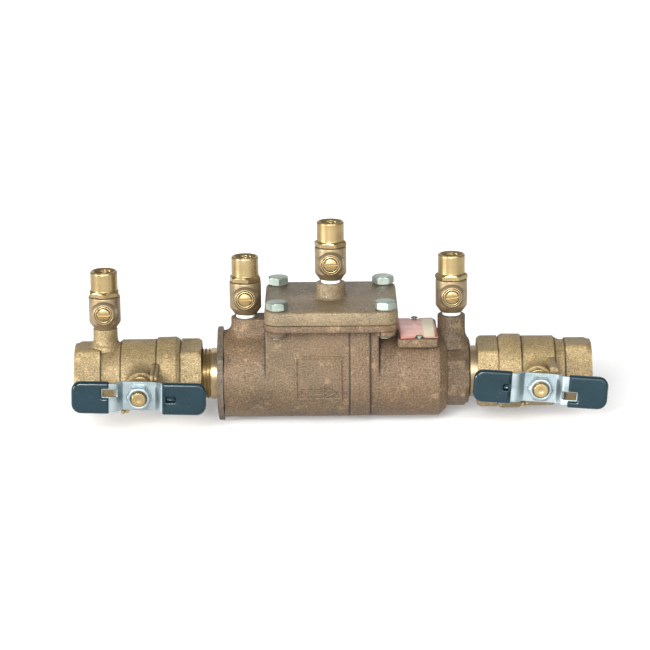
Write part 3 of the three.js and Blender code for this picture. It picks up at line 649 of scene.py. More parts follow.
def plain_finish(name, tones, rough, scale=120.0, depth=0.08, shine=0.5):
    """Moulded or dipped material: a slight change of tone and a soft uneven surface."""
    made, nodes, shader, where = new_material(name)
    stain = nodes.use(stains(), Vector=where, Scale=scale)
    nodes.feed(shader.inputs["Base Color"], nodes.mix(nodes.times(stain["Tone"], 0.7), *map(linear, tones)))
    shader.inputs["Specular IOR Level"].default_value = shine
    nodes.feed(shader.inputs["Roughness"], nodes.ramp(stain["Marks"], 0.0, 1.0, rough, rough + 0.1))
    raise_surface(nodes, shader, stain["Tone"], depth, 0.0004)
    return made


def tag_finish(name, sheet, ink, block_colour):
    """Printed tag: a pale metal sheet with a border, ruled lines and a lighter block at one end."""
    made, nodes, shader, where = new_material(name)
    sheet, ink, block_colour = map(linear, (sheet, ink, block_colour))
    half_width, half_length = TAG_HALF_WIDTH * METRES, TAG_HALF_LENGTH * METRES
    apart = nodes.apart(where)
    x = nodes.ramp(apart["X"], TAG_X * METRES - half_width, TAG_X * METRES + half_width)
    y = nodes.ramp(apart["Y"], -half_length, half_length)
    border = nodes.maths("MAXIMUM", nodes.ramp(nodes.away_from(x, 0.5), 0.44, 0.45),
                         nodes.ramp(nodes.away_from(y, 0.5), 0.465, 0.47))
    ruled = nodes.maths("GREATER_THAN", nodes.maths("FRACT", nodes.times(y, 15.0)), 0.62)
    block = nodes.maths("GREATER_THAN", x, 0.66)
    lines = nodes.times(ruled, nodes.maths("SUBTRACT", 1.0, block))
    stain = nodes.use(stains(), Vector=where, Scale=120.0)
    colour = nodes.mix(block, sheet, block_colour)
    for mask, share, tint in ((lines, 0.75, ink), (border, 0.8, ink), (stain["Marks"], 0.35, block_colour)):
        colour = nodes.mix(nodes.times(mask, share), colour, tint)
    nodes.feed(shader.inputs["Base Color"], colour)
    shader.inputs["Metallic"].default_value = 0.25
    nodes.feed(shader.inputs["Roughness"], nodes.ramp(stain["Tone"], 0.0, 1.0, 0.32, 0.45))
    return made


def material(key):
    """The finish with this name, made from the panel's colours the first time that it is asked for."""
    name = f"{key}_finish"
    if name in bpy.data.materials:
        return bpy.data.materials[name]
    c = bpy.context.scene.backflow_finishes
    grain, depth = 1 / c.grain_size, c.grain_depth

    def pair(part):
        return getattr(c, f"{part}_light"), getattr(c, f"{part}_dark")

    def fixed(light, dark):
        return srgb(light), srgb(dark)

    along_z, along_y, along_x = (0.15, 0.15, 1.0), (0.15, 1.0, 0.15), (1.0, 0.15, 0.15)
    makers = {
        "body_bronze": lambda: cast_finish(name, pair("body"), grain, depth, warm=c.body_warm, marks=0.8,
                                           metallic=0.25, creases=BODY_CREASES),
        "cover_bronze": lambda: cast_finish(name, pair("cover"), grain, depth, metallic=0.1, rough=0.45),
        "valve_bronze": lambda: cast_finish(name, pair("valve"), 1.1 * grain, 0.8 * depth, metallic=0.45,
                                            rough=0.5, creases=VALVE_CREASES),
        "plug_bronze": lambda: cast_finish(name, pair("plug"), 0.9 * grain, depth),
        "cock_bronze": lambda: turned_finish(name, pair("cock"), along_z, 0.8, 0.34),
        "turned_brass": lambda: turned_finish(name, pair("brass"), along_z),
        "stem_brass": lambda: turned_finish(name, pair("brass"), along_y),
        "nipple_brass": lambda: turned_finish(name, pair("nipple"), along_x),
        "plated_steel": lambda: plated_finish(name, pair("steel")),
        "zinc_steel": lambda: plated_finish(name, pair("zinc"), 0.42),
        "blue_vinyl": lambda: plain_finish(name, pair("vinyl"), 0.22, 60.0, 0.03, 0.35),
        "white_ptfe": lambda: plain_finish(name, fixed("f4f6f6", "dfe4e6"), 0.45),
        "black_rubber": lambda: plain_finish(name, fixed("2c2d2f", "1c1d1f"), 0.7),
        "black_plastic": lambda: plain_finish(name, fixed("3c3f43", "2c2f33"), 0.45),
        "spring_steel": lambda: turned_finish(name, fixed("c3c6c8", "8f9498"), (1.0, 1.0, 1.0)),
        "chromed_ball": lambda: turned_finish(name, fixed("dfe2e4", "c6cacd"), (1.0, 0.3, 0.3), 1.0, 0.12),
        "tag_metal": lambda: tag_finish(name, c.tag_sheet, c.tag_ink, c.tag_block),
    }
    return makers[key]()


# ---------------------------------------------------------------- settings


def size_property(name, description, default, low, high, **more):
    return bpy.props.FloatProperty(name=name, description=description, default=default, min=low, max=high,
                                   **more)


def colour_property(name, description, text):
    return bpy.props.FloatVectorProperty(name=name, description=description, default=srgb(text),
                                         subtype="COLOR_GAMMA", size=3, min=0.0, max=1.0)


class ValveSizes(bpy.types.PropertyGroup):
    """Sizes of the ball valves and the pipe threads"""

    pipe_pitch: size_property("Pipe Thread Pitch", "Millimetres between thread crests", 2.209, 0.5, 4.0)
    pipe_thread: size_property("Pipe Thread Depth", "Height of the thread crests in millimetres", 1.1, 0.1, 2.0)
    cast_edge: size_property("Cast Edge", "Rounding of the stop lugs in millimetres", 0.8, 0.1, 3.0)
    plate_thickness: size_property("Handle Thickness", "Steel plate thickness in millimetres", 2.4, 1.0, 4.0)
    grip_thickness: size_property("Grip Thickness", "Millimetres over the vinyl", 5.0, 3.0, 8.0)


class BodySizes(bpy.types.PropertyGroup):
    """Sizes of the main body and the cover"""

    fillet: size_property("Casting Fillet", "Radius in millimetres where the riser meets the barrel", 1.6, 0.5,
                          6.0)
    edge: size_property("Casting Edge", "Rounding of the riser's edges in millimetres", 1.5, 0.2, 4.0)
    bead: size_property("Panel Bead", "Height of the raised outlines in millimetres", 0.8, 0.1, 1.5)
    cover_chamfer: size_property("Cover Chamfer", "Chamfer on the cover's top edge in millimetres", 1.2, 0.2,
                                 3.0)


class CockSizes(bpy.types.PropertyGroup):
    """Sizes of the test cocks"""

    slot_width: size_property("Slot Width", "Screwdriver slot width in millimetres", 1.3, 0.5, 3.0)
    slot_depth: size_property("Slot Depth", "Screwdriver slot depth in millimetres", 1.2, 0.3, 2.5)
    tape_radius: size_property("Tape Radius", "Radius of the thread tape in millimetres", 6.2, 5.0, 7.5)
    port_pitch: size_property("Port Thread Pitch", "Millimetres between port threads", 1.411, 0.5, 3.0)


class Finishes(bpy.types.PropertyGroup):
    """Colours of the finishes and the casting grain"""

    grain_size: size_property("Grain Size", "Size of the casting grain", 0.0011, 0.0003, 0.005, unit="LENGTH")
    grain_depth: size_property("Grain Depth", "Strength of the casting grain", 0.8, 0.0, 1.0, subtype="FACTOR")
    body_warm: colour_property("Body Warm", "Reddish tone of the body castings", "5c4530")
    tag_sheet: colour_property("Tag Sheet", "Ground colour of the tag", "dcb0a2")
    tag_ink: colour_property("Tag Ink", "Colour of the lines on the tag", "9a2c28")
    tag_block: colour_property("Tag Block", "Colour of the plain block on the tag", "cdc2a2")


TWO_TONES = (
    ("body", "the body castings", "64523b", "40352a"),
    ("cover", "the cover", "6e5e44", "504431"),
    ("valve", "the valve castings", "8b7853", "62553c"),
    ("plug", "the inlet plug", "5a4f42", "40382e"),
    ("cock", "the cock bodies", "98866a", "65573f"),
    ("brass", "turned brass", "a5926a", "765f3a"),
    ("nipple", "the inlet nipple", "b09c78", "6f5b3d"),
    ("steel", "the plated handles", "929ea1", "6b787b"),
    ("zinc", "the bolts", "9ca69c", "6c756e"),
    ("vinyl", "the vinyl grips", "08232b", "05191f"),
)
Finishes.__annotations__.update({
    f"{part}_{tone}": colour_property(f"{part} {tone}".title(), f"{tone.title()} tone of {what}", code)
    for part, what, *codes in TWO_TONES for tone, code in zip(("light", "dark"), codes)
})


# ---------------------------------------------------------------- valves


def valve_place(end):
    """Where a valve's own frame sits: its face at 0, its adapter towards +X and its stem towards -Y."""
    rolled = turned("X", VALVES[end]["roll"])
    return rolled if end == "inlet" else rolled @ moved(LENGTH, 0, 0) @ turned("Y", 180)


def handle_place(end):
    return valve_place(end) @ moved(VALVES[end]["stem"], 0, 0) @ turned("Y", VALVES[end]["turn"])


def valve_shells(end, sizes):
    """A turned casting with a hexagon end and a threaded socket, the stem boss and two stop lugs."""
    stem, place = VALVES[end]["stem"], valve_place(end)
    chamber, bevel = stem - VALVES[end]["chamber"], stem + VALVES[end]["bevel"]
    outline = [
        (0, SOCKET + 0.9, 0), (0, 20.46, 0.3), (4, 22.9, 0.5), (16.0, 22.9, 0.4), (17.3, 21.7, 0.4),
        (17.5, 20.3, 0.5), (chamber - 3.6, 20.3, 2.0), (chamber - 0.6, 21.9, 0.4), (chamber - 0.4, 21.4, 0.2),
        (chamber, 22.9, 1.0), (stem + 9.3, 23.0, 0.2), (stem + 9.5, 22.6, 0.2), (stem + 9.9, 24.2, 0.5),
        (stem + 22, 24.4, 0.6), (bevel - 0.2, 22.7, 0.3), (bevel, 19.2, 0.0), (stem - 10.5, 19.2, 0),
        (stem - 10.5, 17.3, 0), (stem - 16.3, 17.3, 0), (stem - 16.3, WATERWAY, 0),
        (SOCKET_DEPTH, WATERWAY, 0), (SOCKET_DEPTH, SOCKET, 0),
    ] + [(x, SOCKET, 0) for x in np.arange(SOCKET_DEPTH - 1.0, 0.6, -0.28)]
    cut = thread(sizes.pipe_pitch, SOCKET_THREAD, -50, SOCKET_DEPTH - 1.0, SOCKET)
    stem_boss = boss(circle(stem, 0, 10.0), round_host(23.0), 4.2, 30, 0.7, "front")
    shells = [hollow(outline, "x", 120, place, flats=VALVE_FLATS, span=(-1, 17.35), twist=30, relief=cut),
              Shell(stem_boss, "caps", place)]
    for half_turn in (0, 180):
        spot = place @ moved(stem, 0, 0) @ turned("Y", half_turn)
        post = [(17.0, -0.5), (24, -0.2)] + slab_levels(24.2, 44.6, 0.0, sizes.cast_edge)
        tip = [(20, 0), (40, 0)] + slab_levels(41, 48.2, 0.0, 0.8)
        shells += [Shell(loft(box_corners(6.8, 11.8, 8.4, 12.6), 1.1, post, "front"), "caps", spot),
                   Shell(loft(box_corners(9.75, 11.8, 9.75, 12.6), 0.8, tip, "front"), "caps", spot)]
    return shells


class BACKFLOW_OT_valve_castings(bpy.types.Operator):
    """Ball valve castings: a hexagon end and a chamber turned from one profile, a stem boss and stop lugs"""

    bl_idname = "backflow.valve_castings"
    bl_label = "Valve Castings"

    def execute(self, context):
        for end in VALVES:
            shells = valve_shells(end, context.scene.backflow_valves)
            if end == "inlet":
                foot = [(17.8, 0, 0), (17.8, 10.6, 0), (20.3, 10.2, 0.6), (22.3, 8.3, 1.5), (25, 7.95, 1.5),
                        (31.9, 7.9, 0.5), (31.9, 0, 0)]
                shells.append(solid(foot, "z", 64, valve_place(end) @ moved(COCKS[0]["x"], 0, 0)))
            add_piece(f"{end}_valve_casting", shells, "valve_bronze", "casing", f"{end}_valve_body")
            self.adapter(end)
        return {"FINISHED"}

    def adapter(self, end):
        """The hexagon screwed into the casting: its shoulder stands a gap off the casting's bevel."""
        v = VALVES[end]
        stem, shoulder = v["stem"], v["stem"] + v["bevel"] + GAP
        face = stem + v["adapter"]
        profile = [(shoulder, 23.1, 0.3), (shoulder + 0.5, 23.9, 0.4), (face - 2.7, 23.9, 0.6),
                   (face, 22.0, 0.4), (face, SOCKET + 0.8, 0), (face - 0.9, SOCKET, 0),
                   (face - SOCKET_DEPTH, SOCKET, 0), (face - SOCKET_DEPTH, WATERWAY, 0),
                   (stem + 16.3, WATERWAY, 0), (stem + 16.3, 17.3, 0), (stem + 11.5, 17.3, 0),
                   (stem + 11.5, 18.9, 0), (shoulder, 18.9, 0)]
        shell = hollow(profile, "x", 120, valve_place(end), flats=ADAPTER_FLATS, span=(shoulder - 0.01, face),
                       twist=30 + v["twist"])
        add_piece(f"{end}_adapter_nut", [shell], "valve_bronze", "casing", f"{end}_valve_adapter")


class BACKFLOW_OT_valve_trim(bpy.types.Operator):
    """Ball valve trim: gland nuts and stems turned from profiles, balls bored through, handle nuts"""

    bl_idname = "backflow.valve_trim"
    bl_label = "Valve Trim"

    def execute(self, context):
        for end in VALVES:
            turning, body = handle_place(end), f"{end}_shutoff"
            at_stem = valve_place(end) @ moved(VALVES[end]["stem"], 0, 0)
            gland = [(28, 5.3, 0), (28, 7.3, 0.2), (30.4, 7.3, 0), (30.4, 8.6, 0.3), (30.7, 9.2, 0.2),
                     (34.2, 9.2, 0.4), (35, 8.1, 0.2), (35, 5.3, 0)]
            shell = hollow(gland, "front", 96, at_stem, flats=GLAND_FLATS, span=(30.35, 35.1))
            add_piece(f"{end}_gland", [shell], "stem_brass", "casing", f"{end}_gland_nut")
            stem = ([(18.9, 0, 0), (18.9, 7, 0.3), (20.9, 7, 0.3), (20.9, 4.87, 0)]
                    + [(a, 4.87, 0) for a in np.linspace(46, 56.2, 90)]
                    + [(57, 4.15, 0.2), (57, 2.0, 0.6), (56.6, 0, 0)])
            tang = loft(box_corners(-2, 2, -6, 6), 0.6, slab_levels(15, 19.4, 0.4, 0.1), "front")
            shells = [solid(stem, "front", 64, turning, relief=thread(STEM_PITCH, 0.42, 46.2, 56.6)),
                      Shell(tang, "caps", turning)]
            add_piece(f"{end}_spindle", shells, "stem_brass", body, f"{end}_stem")
            nut = [(49.0, 5.0, 0), (49.0, 7.6, 0.2), (49.3, 8.26, 0.2), (54.2, 8.26, 0.5), (55.4, 6.6, 0.3),
                   (55.4, 5.6, 0.2), (54.9, 5.0, 0)]
            shell = hollow(nut, "front", 96, turning, flats=HANDLE_NUT_FLATS, span=(48.9, 55.5), twist=30)
            add_piece(f"{end}_hex_nut", [shell], "plated_steel", body, f"{end}_handle_nut")
            self.ball(end, turning)
        return {"FINISHED"}

    def ball(self, end, place):
        """Radius is the square root of R squared minus along squared, and the bore closes it."""
        reach = math.sqrt(BALL**2 - BALL_BORE**2)
        along = np.linspace(-reach, reach, 48)
        outside = np.column_stack([along, np.sqrt(BALL**2 - along**2)])
        inside = np.column_stack([along[::-4], np.full(12, BALL_BORE)])
        shell = Shell(lathe(np.concatenate([outside, inside]), "x", 80), "ring", place)
        add_piece(f"{end}_bored_ball", [shell], "chromed_ball", f"{end}_shutoff", f"{end}_ball")


def plate_height(x):
    """Middle of the handle plate in front of the pipe axis: it steps by t squared (3 - 2 t) at either side."""
    t = np.clip((np.abs(x) - STEP_START) / (STEP_END - STEP_START), 0, 1)
    return PLATE_Y + STEP * t * t * (3 - 2 * t)


class BACKFLOW_OT_handles(bpy.types.Operator):
    """Handles: a stepped steel plate with a slot, and two dipped vinyl grips with rounded edges"""

    bl_idname = "backflow.handles"
    bl_label = "Handles"

    def execute(self, context):
        sizes = context.scene.backflow_valves
        for end in VALVES:
            self.plate(end, sizes.plate_thickness * METRES)
            self.grips(end, sizes.grip_thickness / 2)
        return {"FINISHED"}

    def plate(self, end, thickness):
        """A grid in X and Z whose Y is minus plate_height(x), with the cells of the slots left out."""
        near, far = VALVES[end]["lined_slot"]
        x = np.unique(np.concatenate([
            np.linspace(-PLATE_HALF_LENGTH, -24, 6), OPEN_SLOT[:2], np.linspace(-22, -15, 6),
            np.linspace(-14, 14, 41), np.linspace(15, 17, 3), [near, far],
            np.linspace(24.6, PLATE_HALF_LENGTH, 9)]))
        z = np.array([-PLATE_HALF_WIDTH, -9.0, -6, LINED_LOW, -0.5, OPEN_SLOT[2], LINED_HIGH, 3.1,
                      OPEN_SLOT[3], 9.0, PLATE_HALF_WIDTH])
        gx, gz = np.meshgrid(x, z, indexing="ij")
        points = np.stack([gx, -plate_height(gx), gz], axis=-1).reshape(-1, 3)
        faces = grid_faces(len(x), len(z), False, False)
        mx, _, mz = points[faces].mean(axis=1).T
        cut = np.zeros(len(faces), bool)
        for left, right, low, high in (OPEN_SLOT, (near, far, LINED_LOW, LINED_HIGH)):
            cut |= (mx > left) & (mx < right) & (mz > low) & (mz < high)
        place = handle_place(end)
        points = (points @ place[:3, :3].T + place[:3, 3]) * METRES
        mesh = bpy.data.meshes.new(f"{end}_plate")
        mesh.from_pydata(points.tolist(), [], faces[~cut].tolist())
        mesh.validate()
        piece = smooth_object(f"{end}_plate", mesh, "plated_steel")
        wall = piece.modifiers.new("Thickness", "SOLIDIFY")
        wall.thickness, wall.offset, wall.use_even_offset = thickness, 0.0, True
        edge = piece.modifiers.new("Edge", "BEVEL")
        edge.width, edge.segments, edge.angle_limit = PLATE_EDGE * METRES, 3, math.radians(50)
        tie(piece, f"{end}_shutoff", f"{end}_handle")

    def grips(self, end, half):
        """Lofted slabs: one notched round the open slot, one with a well over the lined slot."""
        near = -VALVES[end]["open_grip"]
        notch = [(near, -GRIP_HALF), (near, 0.3), (-23.5, 0.3), (-23.5, 6.0), (near, 6.0), (near, GRIP_HALF),
                 (-GRIP_END, GRIP_HALF), (-GRIP_END, -GRIP_HALF)]
        levels = slab_levels(GRIP_Y - half, GRIP_Y + half, GRIP_EDGE, GRIP_EDGE, 7)
        radii = [1.2, 0.9, 0.5, 0.5, 0.9, 1.2, GRIP_CORNER, GRIP_CORNER]
        self.grip(end, "open", loft(notch, radii, levels, "front", 8))
        outer = box_corners(VALVES[end]["lined_grip"], GRIP_END, -GRIP_HALF, GRIP_HALF)
        left, right = VALVES[end]["lined_slot"]
        inner = box_corners(left + 0.4, right - 0.4, LINED_LOW + 0.4, LINED_HIGH - 0.4)
        loops = [offset_loop(outer, [GRIP_CORNER, GRIP_CORNER, 1.2, 1.2], inset, 8) for _, inset in levels]
        well = [(GRIP_Y + half - 1.0 * (1 - math.cos(a)), -1.0 * (1 - math.sin(a)))
                for a in np.linspace(0, math.pi / 2, 5)]
        well += [(GRIP_Y - half + 1.6, 0.1), (GRIP_Y - half + 1.1, 0.5)]
        loops += [offset_loop(inner, 0.9, inset, 8) for _, inset in well]
        self.grip(end, "lined", stack_loops(loops, [height for height, _ in levels + well], "front"))

    def grip(self, end, kind, grid):
        add_piece(f"{end}_{kind}_grip", [Shell(grid, "caps", handle_place(end))], "blue_vinyl",
                  f"{end}_shutoff", f"{end}_grip_{kind}_slot", sharp=60)


# ---------------------------------------------------------------- body and cover


def riser_radius(angle):
    """Distance from the pipe axis to the riser's U-shaped outline, at an angle from +Y towards +Z."""
    side = WALL_Y / np.maximum(np.abs(np.cos(angle)), 1e-6)
    top = RISER_TOP / np.maximum(np.sin(angle), 1e-6)
    return np.where(np.sin(angle) > 0, np.minimum(side, top), WALL_Y)


def band_radius(angle):
    """The riser's outline with the band's height added, less and less towards the underside."""
    fade = np.clip((np.sin(angle) + 0.93) / 0.12, 0, 1)
    return riser_radius(angle) + BAND_HEIGHT * fade * fade * (3 - 2 * fade) - 0.3 * (1 - fade)


def saddle(start, end, outline, fillet, edge, base):
    """A sleeve round the barrel, from start to end, whose outline is a distance for each angle.

    Where the outline stands above the base radius by g, the foot is a fillet of radius min(fillet, 0.3 g)
    and the outer edge a quarter circle of radius min(edge, 0.7 g). Where g is nothing, it sinks in.
    """
    angle = np.linspace(0, 2 * math.pi, 241)[:-1]
    reach = outline(angle)
    above = np.maximum(reach - base, 0.0)
    f, e = np.minimum(fillet, above * 0.3), np.minimum(edge, above * 0.7)
    sink = np.where(above < 0.02, base - 0.5, base)
    reach = np.where(above < 0.02, base - 0.5, reach)
    a = np.linspace(0, math.pi / 2, 7)[:, None]
    out, over = 1 - np.sin(a), 1 - np.cos(a)
    left = [(start - f * out, sink + f * over), (start + e * over, reach - e * out)]
    right = [(end - e * over[::-1], reach - e * out[::-1]), (end + f * out[::-1], sink + f * over[::-1])]
    along = np.concatenate([pair[0] for pair in left + right])
    radius = np.concatenate([np.broadcast_to(pair[1], pair[0].shape) for pair in left + right])
    along = np.concatenate([along[:1], along, along[-1:]])
    inside = np.full((1, len(angle)), base - 2.5)
    radius = np.concatenate([inside, radius, inside])
    return Shell(np.stack([along, radius * np.cos(angle), radius * np.sin(angle)], axis=-1), "ring")


def on_wall(path):
    """Points of (x, z) laid on the front wall: Y is -28.6 above the axis and round the barrel below it."""
    z = path[:, 1]
    y = -np.where(z > 0, WALL_Y, np.sqrt(np.maximum(WALL_Y**2 - z**2, 1)))
    normal = np.column_stack([np.zeros(len(z)), y, np.minimum(z, 0)])
    return np.column_stack([path[:, 0], y, z]), normal / np.linalg.norm(normal, axis=1)[:, None]


def along_path(corners, step=0.7):
    """Points at equal steps round a closed path of straight edges."""
    corners = np.asarray(corners, float)
    parts = []
    for a, b in zip(corners, np.roll(corners, -1, axis=0)):
        count = max(2, int(np.linalg.norm(b - a) / step))
        parts.append(a + (b - a) * np.linspace(0, 1, count, endpoint=False)[:, None])
    return np.concatenate(parts)


class BACKFLOW_OT_main_body(bpy.types.Operator):
    """Main body: a bored barrel with a hexagon end, riser, band, flange, bosses, label pad and flow arrow"""

    bl_idname = "backflow.main_body"
    bl_label = "Main Body"

    def execute(self, context):
        sizes = context.scene.backflow_body
        shells = [self.barrel(), saddle(124.7, 198.3, riser_radius, sizes.fillet, sizes.edge, WALL_Y - 0.05),
                  saddle(179.5, 192.5, band_radius, 0.2, 1.3, WALL_Y - 0.4),
                  Shell(loft(square_outline(), SQUARE_CORNER, slab_levels(37.3, 42, 1.4, 0.5), steps=10))]
        lump = [(34, 0, 0), (34, 6.4, 0.8), (36.6, 6.7, 0.6), (38, 8.1, 0), (38, 0, 0)]
        shells += [solid(lump, "z", 40, moved(COVER_CENTRE + x, y, 0))
                   for x in (-BOLT_OFFSET, BOLT_OFFSET) for y in (-BOLT_OFFSET, BOLT_OFFSET)]
        shells += self.bosses() + self.markings(sizes.bead)
        add_piece("body_casting", shells, "body_bronze", "casing", "main_body")
        return {"FINISHED"}

    def barrel(self):
        profile = [
            (97.5, 24.3, 0), (97.5, 28.6, 0.7), (237.6, 28.6, 0.5), (242.7, 23.6, 0.8), (253.8, 23.6, 0.6),
            (257.0, 20.3, 0.4), (257.0, SOCKET + 0.8, 0.2), (256.2, SOCKET, 0), (240.0, SOCKET, 0),
            (240.0, 13.5, 0), (236, 13.5, 0), (236, 22.5, 0), (203, 22.5, 0), (203, 19.5, 0), (198, 19.5, 0),
            (198, 24.5, 0), (126, 24.5, 0), (126, 19.5, 0), (121, 19.5, 0), (121, 22.5, 0), (107.5, 22.5, 0),
            (107.5, 24.3, 0),
        ]
        return hollow(profile, "x", 144, flats=OUTLET_FLATS, span=(242.5, 257.1))

    def bosses(self):
        """The second cock's boss and its web to the riser, the fourth cock's neck, and the label pad."""
        angle = np.linspace(math.pi / 2, 1.5 * math.pi, 33)
        left = np.column_stack([COCKS[1]["x"] + 9.5 * np.cos(angle), 9.5 * np.sin(angle)])
        web = np.concatenate([left, [[118, -9.5], [126.5, -9.5], [126.5, 9.5], [118, 9.5]]])
        neck = [(17.8, 0, 0), (17.8, 12.4, 0), (21.2, 11.8, 1), (24.6, 9.5, 2), (28, 9.0, 2), (38.8, 9.0, 0.6),
                (38.8, 0, 0)]
        pad = loft(box_corners(210.3, 236.7, -27, 27), 2.2, slab_levels(22.8, 28.8, 1.6, 0.7))
        return [Shell(boss(web, round_host(WALL_Y), 5.5, 38.5, 0.7)),
                solid(neck, "z", 64, moved(COCKS[3]["x"], 0, 0)), Shell(pad)]

    def markings(self, height):
        """Raised outlines of a plain panel and of an arrow that points downstream."""
        panel = [(144.5, 17.5), (144.5, -10.5), (173.5, -10.5), (173.5, 17.5)]
        arrow = [(147.5, -4.2), (162.5, -4.2), (162.5, -1.6), (170.2, -6.0), (162.5, -9.6), (162.5, -7.4),
                 (147.5, -7.4)]
        return [Shell(ridge(*on_wall(along_path(corners)), width, height), "ring")
                for corners, width in ((panel, 1.8), (arrow, 1.3))]


class BACKFLOW_OT_inlet_plug(bpy.types.Operator):
    """Inlet plug and nipples: a hexagon flange, and pipes whose threads are helical ridges"""

    bl_idname = "backflow.inlet_plug"
    bl_label = "Inlet Plug and Nipples"

    def execute(self, context):
        head = [(93.4, SOCKET + 0.6, 0), (93.4, 30.4, 0.4), (94.6, 32.3, 0.5), (97.2, 32.3, 0.5),
                (97.2, 24, 0), (99.0, 24, 0), (99.0, 21.8, 0), (102.0, 21.8, 0), (102.0, 24, 0),
                (106.5, 24, 0.3), (106.5, SOCKET, 0), (94.0, SOCKET, 0)]
        shell = hollow(head, "x", 144, flats=PLUG_FLATS, span=(93.3, 97.3))
        add_piece("plug_flange", [shell], "plug_bronze", "casing", "inlet_plug")
        sizes = context.scene.backflow_valves
        self.nipple("inlet", 66.7, 106.0, 89.2, sizes, "nipple_brass")
        self.nipple("outlet", 241.1, 278.7, 258.0, sizes, "cock_bronze")
        return {"FINISHED"}

    def nipple(self, end, start, stop, threaded, sizes, finish):
        """A pipe from start to stop along X, with a thread that ends at threaded."""
        rows = [(start, 13.2, 0), (start, PIPE - 1.2, 0)]
        rows += [(x, PIPE, 0) for x in np.arange(start + 0.3, stop - 0.3, 0.22)]
        rows += [(stop, PIPE - 0.6, 0), (stop, 13.2, 0)]
        cut = thread(sizes.pipe_pitch, sizes.pipe_thread, start - 5, threaded, PIPE)
        add_piece(f"{end}_pipe_nipple", [hollow(rows, "x", 96, relief=cut)], finish, "casing", f"{end}_nipple",
                  50)


class BACKFLOW_OT_cover(bpy.types.Operator):
    """Cover: a chamfered plate and a boss with a filleted foot"""

    bl_idname = "backflow.cover"
    bl_label = "Cover"

    def execute(self, context):
        chamfer = context.scene.backflow_body.cover_chamfer
        levels = [(42.3, 0.5), (42.5, 0.15), (42.9, 0.0), (COVER_TOP - chamfer - 0.5, 0.15),
                  (COVER_TOP - chamfer, 0.3), (COVER_TOP - 0.55 * chamfer, 0.55),
                  (COVER_TOP - 0.15 * chamfer, 1.2), (COVER_TOP, 1.9)]
        foot = [(49, 0, 0), (49, 11.6, 0), (51.15, 11.3, 0.2), (52.3, 9.9, 0.9), (54.5, 9.45, 1),
                (61.1, 9.45, 0.6), (61.1, 0, 0)]
        shells = [Shell(loft(square_outline(), SQUARE_CORNER, levels, steps=12)),
                  solid(foot, "z", 72, moved(COVER_CENTRE, 0, 0))]
        add_piece("cover_plate", shells, "cover_bronze", "casing", "cover")
        return {"FINISHED"}


class BACKFLOW_OT_cover_bolts(bpy.types.Operator):
    """Cover bolts: washers, chamfered hexagon heads and threaded shanks, each head turned its own way"""

    bl_idname = "backflow.cover_bolts"
    bl_label = "Cover Bolts"

    def execute(self, context):
        rows = ([(32.2, 0, 0), (32.2, 3.2, 0)] + [(a, 3.9, 0) for a in np.arange(32.6, 51.0, 0.16)]
                + [(51.5, 3.9, 0), (51.5, 6.1, 0.1), (52.0, 6.1, 0.2), (52.0, 6.4, 0.1), (52.1, 7.28, 0.15),
                   (55.9, 7.3, 0.3), (56.8, 6.1, 0.4), (56.6, 4.6, 0.5), (56.7, 0, 0)])
        spots = ((-1, -1, 38), (1, -1, 12), (1, 1, 30), (-1, 1, 3))
        for number, (x, y, twist) in enumerate(spots, 1):
            bolt = solid(rows, "z", 72, moved(COVER_CENTRE + x * BOLT_OFFSET, y * BOLT_OFFSET, 0),
                         flats=BOLT_FLATS, span=(52.0, 57), twist=twist,
                         relief=thread(BOLT_PITCH, 0.7, 30, 50.5))
            add_piece(f"hex_bolt_{number}", [bolt], "zinc_steel", "casing", f"cover_bolt_{number}", sharp=30)
        return {"FINISHED"}


# ---------------------------------------------------------------- test cocks


